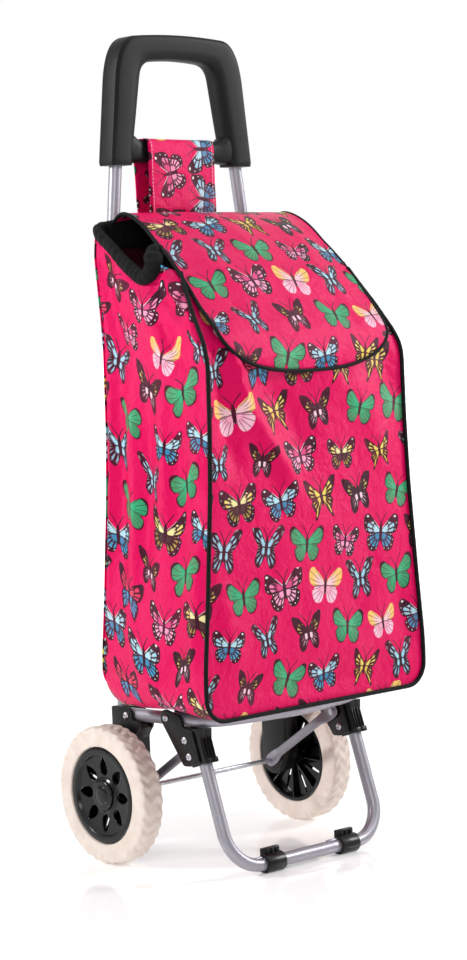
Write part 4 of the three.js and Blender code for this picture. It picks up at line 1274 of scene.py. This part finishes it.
def add_bag():
    """The sewn shell, open at the top, and its sections from the front seam to the rear one."""
    even_shares = np.linspace(0.055, 0.86, DEPTH_ROWS - 10)
    shares = np.r_[0, 0.004, 0.012, 0.03, even_shares, 0.885, 0.91, 0.935, 0.958, 0.98, 1.0]
    sections = [section(t) for t in shares]
    rows = [shaped_side(points, t) for (points, _), t in zip(sections, shares)]
    # the seams stand a little proud of the gusset, and the cloth rounds into them
    for row, pull in ((rows[1], 0.9), (rows[2], 0.35)):
        row[:, 0] -= np.sign(row[:, 0]) * pull * step(60, 120, np.abs(row[:, 0]))
    bag = Shape()
    places = []
    for (_, run), points in zip(sections, rows):
        down = np.minimum(run, run[-1] - run)
        places.append(np.column_stack([-points[:, 1] * MM + 0.021, -down * MM + 0.013]))
    bag.add(np.vstack(rows), grid(len(rows), len(rows[0])), np.vstack(places))

    def panel(seam, y_of, facing, bulge, folds, seed):
        """A panel inside a seam, whose points it shares. facing is 1 at the front and -1 at the back."""
        levels = SIDE_ROWS + CORNER_ROWS + 1
        left, right = seam[:levels, None], seam[::-1][:levels, None]
        u = np.linspace(0, 1, BASE_COLUMNS + 1)
        spots = left + (right - left) * u[:, None]
        x, z = spots[:, :, 0].copy(), spots[:, :, 2].copy()
        from_seam = np.minimum(u, 1 - u)
        y = y_of(z) + (spots[:, :, 1] - y_of(z)) * (1 - step(0, 0.05, from_seam))
        swell = bulge * (1 - (2 * u - 1) ** 2) * step(BASE_Z, BASE_Z + 120, z) * (1 - step(560, 660, z) * 0.7)
        inward = np.clip(from_seam / 0.06, 0, 1) * step(BASE_Z, BASE_Z + 26, z)
        out = swell + inward * (ridges(x, z, folds) + 0.5 * ripple(x, z, seed))
        spots[:, :, 1] = y - facing * out
        spots[-1, :, 1:] = seam[levels - 1 : levels + BASE_COLUMNS, 1:]
        flat = np.stack([facing * x * MM + 0.019, z * MM + 0.004], axis=-1)
        bag.add(spots, grid(levels, BASE_COLUMNS + 1), flat)

    panel(rows[0], front_y, 1, 3.0, FRONT_FOLDS, 1.0)
    panel(rows[-1], back_y, -1, 2.0, BACK_FOLDS, 3.0)
    # The cloth's inner face is coloured very dark red: painted shade for the inside of the bag.
    shell = bag.make("bag_shell", ["print", "shaded_inside"], "root", sharp=50)
    thicken(shell, 2.0, -1.0, inner_skin=1)
    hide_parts("bag_front_panel", "bag_back_panel", "bag_side_left", "bag_side_right", "bag_base")
    return shell, rows


def add_front_piping(seam):
    """Covered cord sewn into the seam round the front panel."""
    path = even(seam, 420)
    forward = headings(path)
    outward = np.column_stack([forward[:, 2], np.zeros(len(path)), -forward[:, 0]])
    outward *= np.sign(np.sum(outward * (path - (0, 0, 430)), axis=1))[:, None]
    twist = 1 + 0.03 * np.sin(np.arange(len(path)) * 1.9)
    rings = circle(PIPING_R, 16) * twist[:, None, None]
    cord = Shape().tube(path + (0, -1.3, 0) + outward * 0.5, rings, up=(0, 1, 0))
    return cord.make("front_piping_look", "black_cloth", "root", "front_piping", sharp=70)


def add_rear_seam(seam):
    """The rear corners' turned seam: a narrow ridge of the same cloth."""
    path = even(seam, 320) + (0, 0.6, 0)
    ridge = Shape().tube(path, superellipse(0.9, 1.9, 2.5, 12), up=(0, 1, 0))
    flat = ridge.points[:, (2, 1)] * MM
    ridge.places = [[tuple(flat[i]) for i in face] for face in ridge.faces]
    return ridge.make("rear_seam", "print", "root", sharp=70)


def add_collar():
    """A gathered band of thin black cloth that binds the mouth, and bunches up at its front corners."""
    half = [
        (60, -120, 672), (98, -115, 678), (117, -104, 689), (128, -99, 697), (136.5, -102, 693),
        (141.5, -107, 683), (144.5, -104, 674), (145, -94, 670), (145, -80, 676), (145, -58, 690),
        (145.5, -36, 708), (145, -19, 719), (140, -9, 725), (126, -8, 729), (112, -11, 730), (60, -13, 730),
    ]
    # the right-hand bunch is flattened under the flap
    right = [(x, y, z - (14 if x > 110 and y < -98 else 0)) for x, y, z in half]
    loop = [(0, -121, 671), *right, (0, -13, 730), *[(-x, y, z) for x, y, z in half[::-1]]]
    count = 640
    path = spline(loop, count, closed=True)
    forward = headings(path, closed=True)
    # away from the mouth's middle: straight out along the sides, and turning at the corners
    out = (path - (0, -62, 0)) * (1, 1, 0)
    out[:, 0] = np.sign(out[:, 0]) * np.maximum(np.abs(out[:, 0]) - 60, 0) / 85
    out[:, 1] /= 50
    out = unit(out - forward * np.sum(out * forward, axis=1)[:, None])
    up = np.cross(out, forward)
    up *= np.sign(up[:, 2].mean())
    from_corner = np.linalg.norm(path - (-136, -103, 690), axis=1)
    bunched = np.exp(-((from_corner / 20) ** 2))
    at_back = step(-26, -14, path[:, 1]) * (1 - step(104, 132, np.abs(path[:, 0])))
    at = np.arange(count) * 2 * math.pi / count
    gather = 0.5 * np.sin(96 * at + 2 * np.sin(5 * at)) + 0.35 * np.sin(61 * at + 1.3) + 0.3 * np.sin(23 * at)
    gather = gather * (1 + 1.1 * bunched)
    # across the band, as [across, rise, play]: up the outside, over the rim, down the inside to a loose hem,
    # and back within
    profile = [
        (1.2, -8.5, 0.3), (3.0, -7.5, 0.5), (4.2, -4, 0.7), (4.6, 0, 0.8), (4.0, 4, 0.8), (2.2, 6.4, 0.7),
        (-0.8, 7.2, 0.6), (-3.8, 6.2, 0.7), (-5.8, 3.5, 0.8), (-6.4, 0, 0.9), (-6.0, -6, 1.1),
        (-6.8, -14, 1.6), (-8, -24, 2.2), (-7.2, -24.4, 2.2), (-6, -14, 1.6), (-5.2, -6, 1.0), (-5.4, 0, 0.6),
        (-4.6, 2.8, 0.5), (-3.0, 4.8, 0.4), (-0.8, 5.6, 0.4), (1.6, 4.8, 0.4), (2.9, 3, 0.4), (3.3, 0, 0.4),
        (3.0, -3.6, 0.4), (2.0, -6.4, 0.3), (1, -7.4, 0.3),
    ]
    size = 1 + 0.4 * bunched
    lines = []
    for across, rise, play in profile:
        # along the back the band lies inside the panel, and the bunched corner's hem is shorter
        offset = across * (1 - 0.45 * at_back) - 3.4 * at_back
        height = rise if rise > -12 else rise * (1 - 0.45 * bunched)
        swing = play * gather
        aside, above = offset * size + swing, height * size + 0.5 * swing
        lines.append(path + out * aside[:, None] + up * above[:, None])
    run = np.repeat(np.linspace(0, 0.9, count), len(profile))
    drop = np.tile(np.linspace(0, 0.08, len(profile)), count)
    faces = grid(count, len(profile), wrap_rows=True, wrap_columns=True)
    band = Shape().add(np.stack(lines, axis=1), faces, np.column_stack([run, drop]))
    return band.make("mouth_collar_look", "black_cloth", "root", "mouth_collar", sharp=80)


def add_base_board():
    x, front, rear, r = 132, FRONT_Y + 8, BACK_Y - REAR_CORNER_R - 2, 12
    low = BASE_Z + 2.6
    corners = [(front, -x, r), (rear, -x, r), (rear, x, r), (front, x, r)]
    board = Shape().plate(rounded(corners, 6), (low, low + 3), 0.5)
    board.points = board.points[:, (2, 1, 0)]
    return board.make("base_board_look", "board", "root", "base_board")


# ---- Strap ----


def add_strap():
    """Two layers of printed webbing round the crossbar, sewn together below it and then to the bag's back."""
    off_bar = 1.2
    front, rear = HANDLE_Y - HANDLE_DEPTH / 2 - off_bar, HANDLE_Y + HANDLE_DEPTH / 2 + off_bar
    top = CROSSBAR_Z[1] + off_bar

    def drawn(points, count):
        return spline([(0, y, z) for y, z in points], count)[:, 1:]

    loop = [
        (-1.2, 742), (-2.3, 752), (front - 0.1, 778), (front - 0.4, 800), (front, 822),
        (front + 2.4, top - 1.6), (front + 7, top), (HANDLE_Y, top + 0.3), (rear - 7, top),
        (rear - 2.4, top - 1.6), (rear - 0.4, 821), (rear - 3, 800), (rear - 4.2, 780), (rear - 4.8, 760),
        (rear - 6, 748),
    ]
    start = drawn([(-6.2, 706), (-4.6, 722), (-2.2, 735), loop[0]], 14)[:-1]
    end = drawn([loop[-1], (17, 734), (5, 718), (-4.0, 706)], 14)[1:]
    line = np.vstack([start, drawn(loop, 150), end])
    run = run_along(line)
    forward = headings(line)
    outward = np.column_stack([-forward[:, 1], forward[:, 0]])
    left, right = -55.0, 45.0
    columns = np.linspace(left, right, 25)
    free = step(0.02, 0.2, run / run[-1]) * (1 - step(0.8, 0.98, run / run[-1]))
    points, places = [], []
    for x in columns:
        curl = 0.6 * abs((x + 5) / 50) ** 6
        bow = 0.4 * np.sin(run / 31.0 + x / 27.0)
        spots = line + outward * ((bow - curl) * free)[:, None]
        points.append(np.column_stack([np.full(len(line), x), spots]))
        places.append(np.column_stack([run * MM + 0.036, np.full(len(line), -x * MM + 0.052)]))
    strap = Shape().add(np.vstack(points), grid(len(columns), len(line)), np.vstack(places))
    band = strap.make("hanging_strap_look", ["print"], "root", "hanging_strap", sharp=60)
    thicken(band, 1.5, 0.0, even_offset=True)

    def at_run(values, at):
        return np.array([np.interp(at, run, values[:, 0]), np.interp(at, run, values[:, 1])])

    # a row of stitches a few millimetres in from each edge
    outer_face = line + outward * 0.95
    pitch, length, inset = 4.2, 2.9, 4.5
    stitches = Shape()
    for x in (left + inset, right - inset):
        for at in np.arange(10, run[-1] - 12, pitch):
            ends = [at_run(outer_face, at + part) for part in (0, length / 2, length)]
            ends[1] = ends[1] + at_run(outward, at) * 0.25
            path = [(x, y, z) for y, z in bezier(ends, 5)]
            stitches.tube(path, circle(0.42, 6) * (1.0, 0.8))
    seams = stitches.make("strap_stitches", "stitch", "root", sharp=80)


# ---- Flap ----

flap_line = spline([(0, y, z) for y, z in FLAP_LINE], 600)
flap_run = run_along(flap_line)


def flap_end(across):
    return FLAP_CORNER + (1 - FLAP_CORNER) * np.sqrt(np.maximum(0, 1 - np.abs(across) ** 2.6))


def on_flap(across, share):
    """A point of the flap's middle surface: crowned across, with soft waves where it hangs over the bag."""
    share = np.clip(share, 0, 1)
    at = share * flap_run[-1]
    y = np.interp(at, flap_run, flap_line[:, 1])
    z = np.interp(at, flap_run, flap_line[:, 2])
    x = across * along(FLAP_HALF_WIDTH, np.minimum(share, FLAP_CORNER))
    dy = np.interp(at, flap_run, np.gradient(flap_line[:, 1], flap_run))
    dz = np.interp(at, flap_run, np.gradient(flap_line[:, 2], flap_run))
    crown = -8.5 * np.abs(across) ** 2.4 * step(0.08, 0.36, share) * (1 - 0.75 * step(0.5, 0.95, share))
    lift = -6.0 * np.abs(across) ** 3 * (1 - step(0.0, 0.1, share))
    wave = (ridges(x, at, FLAP_FOLDS) + 0.35 * ripple(x, at, 5.0)) * step(0.03, 0.15, share)
    total = crown + lift + wave
    return np.column_stack([x, y + dz * total, z - dy * total])


def add_flap():
    columns, rows = 61, 97
    across = np.sin(np.linspace(-1, 1, columns) * math.pi / 2)
    points, places = [], []
    for a in across:
        share = np.linspace(0, 1, rows) * flap_end(a)
        spots = on_flap(np.full(rows, a), share)
        points.append(spots)
        places.append(np.column_stack([spots[:, 0] * MM + 0.009, 0.5 - share * flap_run[-1] * MM]))
    flap = Shape().add(np.vstack(points), grid(columns, rows), np.vstack(places))
    cover = flap.make("flap_cover", ["print", "shaded_inside"], "flap", sharp=60)
    thicken(cover, 2.0, 0.0)
    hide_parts("flap")

    # the cord runs down one side, round the free end and up the other side
    share = np.linspace(0.015, flap_end(1.0), 90)
    right, left = (on_flap(np.full(90, side), share) for side in (1.0, -1.0))
    tip = np.cos(np.linspace(0, math.pi, 140)[1:-1])
    path = even(np.vstack([right, on_flap(tip, flap_end(tip)), left[::-1]]), 420)
    forward = headings(path)
    # away from the flap's middle, in its own surface
    share = np.interp(path[:, 1], flap_line[::-1, 1], flap_run[::-1] / flap_run[-1])
    outward = path - on_flap(np.clip(path[:, 0] / 125, -1, 1) * 0.9, share * 0.96)
    outward = unit(outward - forward * np.sum(outward * forward, axis=1)[:, None])
    for _ in range(6):
        outward[1:-1] = (outward[:-2] + outward[1:-1] * 2 + outward[2:]) / 4
    outward = unit(outward)
    cord = Shape().tube(path + outward * 1.9, circle(FLAP_PIPING_R, 14))
    edge = cord.make("flap_piping_look", "black_cloth", "flap", "flap_piping", sharp=70)
    return cover, edge


add_tyres()
add_hubs()
add_axle()
add_uprights()
add_handle()
add_shelf()
add_leg_tube()
add_front_brackets()
add_foot_clips()
add_braces()
bag_shell, bag_rows = add_bag()
front_piping = add_front_piping(bag_rows[0])
rear_seam = add_rear_seam(bag_rows[-1])
collar = add_collar()
board = add_base_board()
add_strap()
flap_cover, flap_edge = add_flap()

# Each of these pieces gets its own copy of its mesh.
for piece in (bag_shell, front_piping, rear_seam, collar, board, flap_cover, flap_edge):
    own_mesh(piece)

# ---- Stage, light and camera ----

FLOOR_REACH = 30.0
FLOOR_GLOW = (0.24, 0.85)  # under the trolley, and where the lamps don't reach
WORLD_DIFFUSE = 0.15
WALL_GLOSS = 0.3  # the studio's side walls are grey in reflections
SCREEN_AHEAD = (0.656, 0.755, 0.0)  # and the white screen stands behind the trolley
CAMERA_PLACE = (-1.77116, -2.03063, 0.63601)
CAMERA_TURN = (-41.12, 4.31, -2.2)  # yaw, pitch down and roll, in degrees
CAMERA_LENS = 87.285


def add_floor():
    """A wide pale floor, slightly polished."""
    mesh = bpy.data.meshes.new("floor")
    corners = [(x * FLOOR_REACH, y * FLOOR_REACH, 0) for x, y in ((-1, -1), (1, -1), (1, 1), (-1, 1))]
    mesh.from_pydata(corners, [], [(0, 1, 2, 3)])
    floor = in_scene("floor", mesh)

    def polished(net):
        smear = net.noise(net.place(), 3, 3)
        return {
            "Base Color": net.mix(smear, (0.9, 0.9, 0.905, 1), (0.93, 0.93, 0.93, 1)),
            "Roughness": smear * 0.05 + 0.06,
            "Specular IOR Level": 0.6,
            "Emission Color": (1, 1, 1, 1),
            "Emission Strength": net.between(net.vector("LENGTH", net.place()), 0.8, 4.5, *FLOOR_GLOW),
        }

    mesh.materials.append(shader("floor_white", polished))


def add_light(name, place, height, size, power):
    """A square lamp that faces that height on the trolley's axis."""
    lamp = bpy.data.lights.new(name, "AREA")
    lamp.shape, lamp.size, lamp.size_y = "RECTANGLE", size, size
    lamp.energy = power
    holder = in_scene(name, lamp)
    holder.location = place
    holder.rotation_euler = (Vector((0, 0, height)) - Vector(place)).to_track_quat("-Z", "Y").to_euler()


def add_world():
    world = bpy.data.worlds.new("studio")
    bpy.context.scene.world = world
    world.use_nodes = True
    net = Net(world.node_tree)
    background = world.node_tree.nodes["Background"]
    background.inputs["Color"].default_value = (1, 1, 1, 1)
    diffuse, glossy = (net.output("ShaderNodeLightPath", f"Is {kind} Ray") for kind in ("Diffuse", "Glossy"))
    direction = net.output("ShaderNodeTexCoord", "Generated")
    ahead = net.between(net.vector("DOT_PRODUCT", direction, SCREEN_AHEAD), 0.72, 0.9)
    above = net.between(net.split(direction)[2], 0.15, 0.85, 0.0, 0.6)
    screen = ahead * (1 - WALL_GLOSS) + above
    seen_in_gloss = net.math("ADD", WALL_GLOSS, screen, clamp=True)
    darker = diffuse * (1 - WORLD_DIFFUSE) + glossy * (1.0 - seen_in_gloss)
    net.put(background.inputs["Strength"], net.math("SUBTRACT", 1.0, darker, clamp=True))


def add_camera():
    yaw, pitch, roll = (math.radians(angle) for angle in CAMERA_TURN)
    forward = Vector((-math.sin(yaw) * math.cos(pitch), math.cos(yaw) * math.cos(pitch), -math.sin(pitch)))
    level = Vector((math.cos(yaw), math.sin(yaw), 0))
    over = level.cross(forward)
    right = math.cos(roll) * level + math.sin(roll) * over
    up = -math.sin(roll) * level + math.cos(roll) * over
    lens = bpy.data.cameras.new("camera")
    lens.sensor_width, lens.lens = 36, CAMERA_LENS
    lens.clip_start, lens.clip_end = 0.05, 60
    camera = in_scene("camera", lens)
    axes = Matrix((right, up, -forward)).transposed()
    camera.matrix_world = Matrix.Translation(CAMERA_PLACE) @ axes.to_4x4()
    bpy.context.scene.camera = camera


add_floor()
add_light("right", (2.9, -1.7, 1.9), 0.5, 0.7, 92)
add_light("left", (-2.6, 1.5, 1.8), 0.5, 0.6, 72)
add_light("front", (-2.2, -2.4, 1.5), 0.5, 0.8, 18)
add_light("top", (0.2, -0.4, 3.0), 0.4, 1.6, 26)
add_world()
add_camera()
bpy.context.scene.view_settings.view_transform = "Standard"
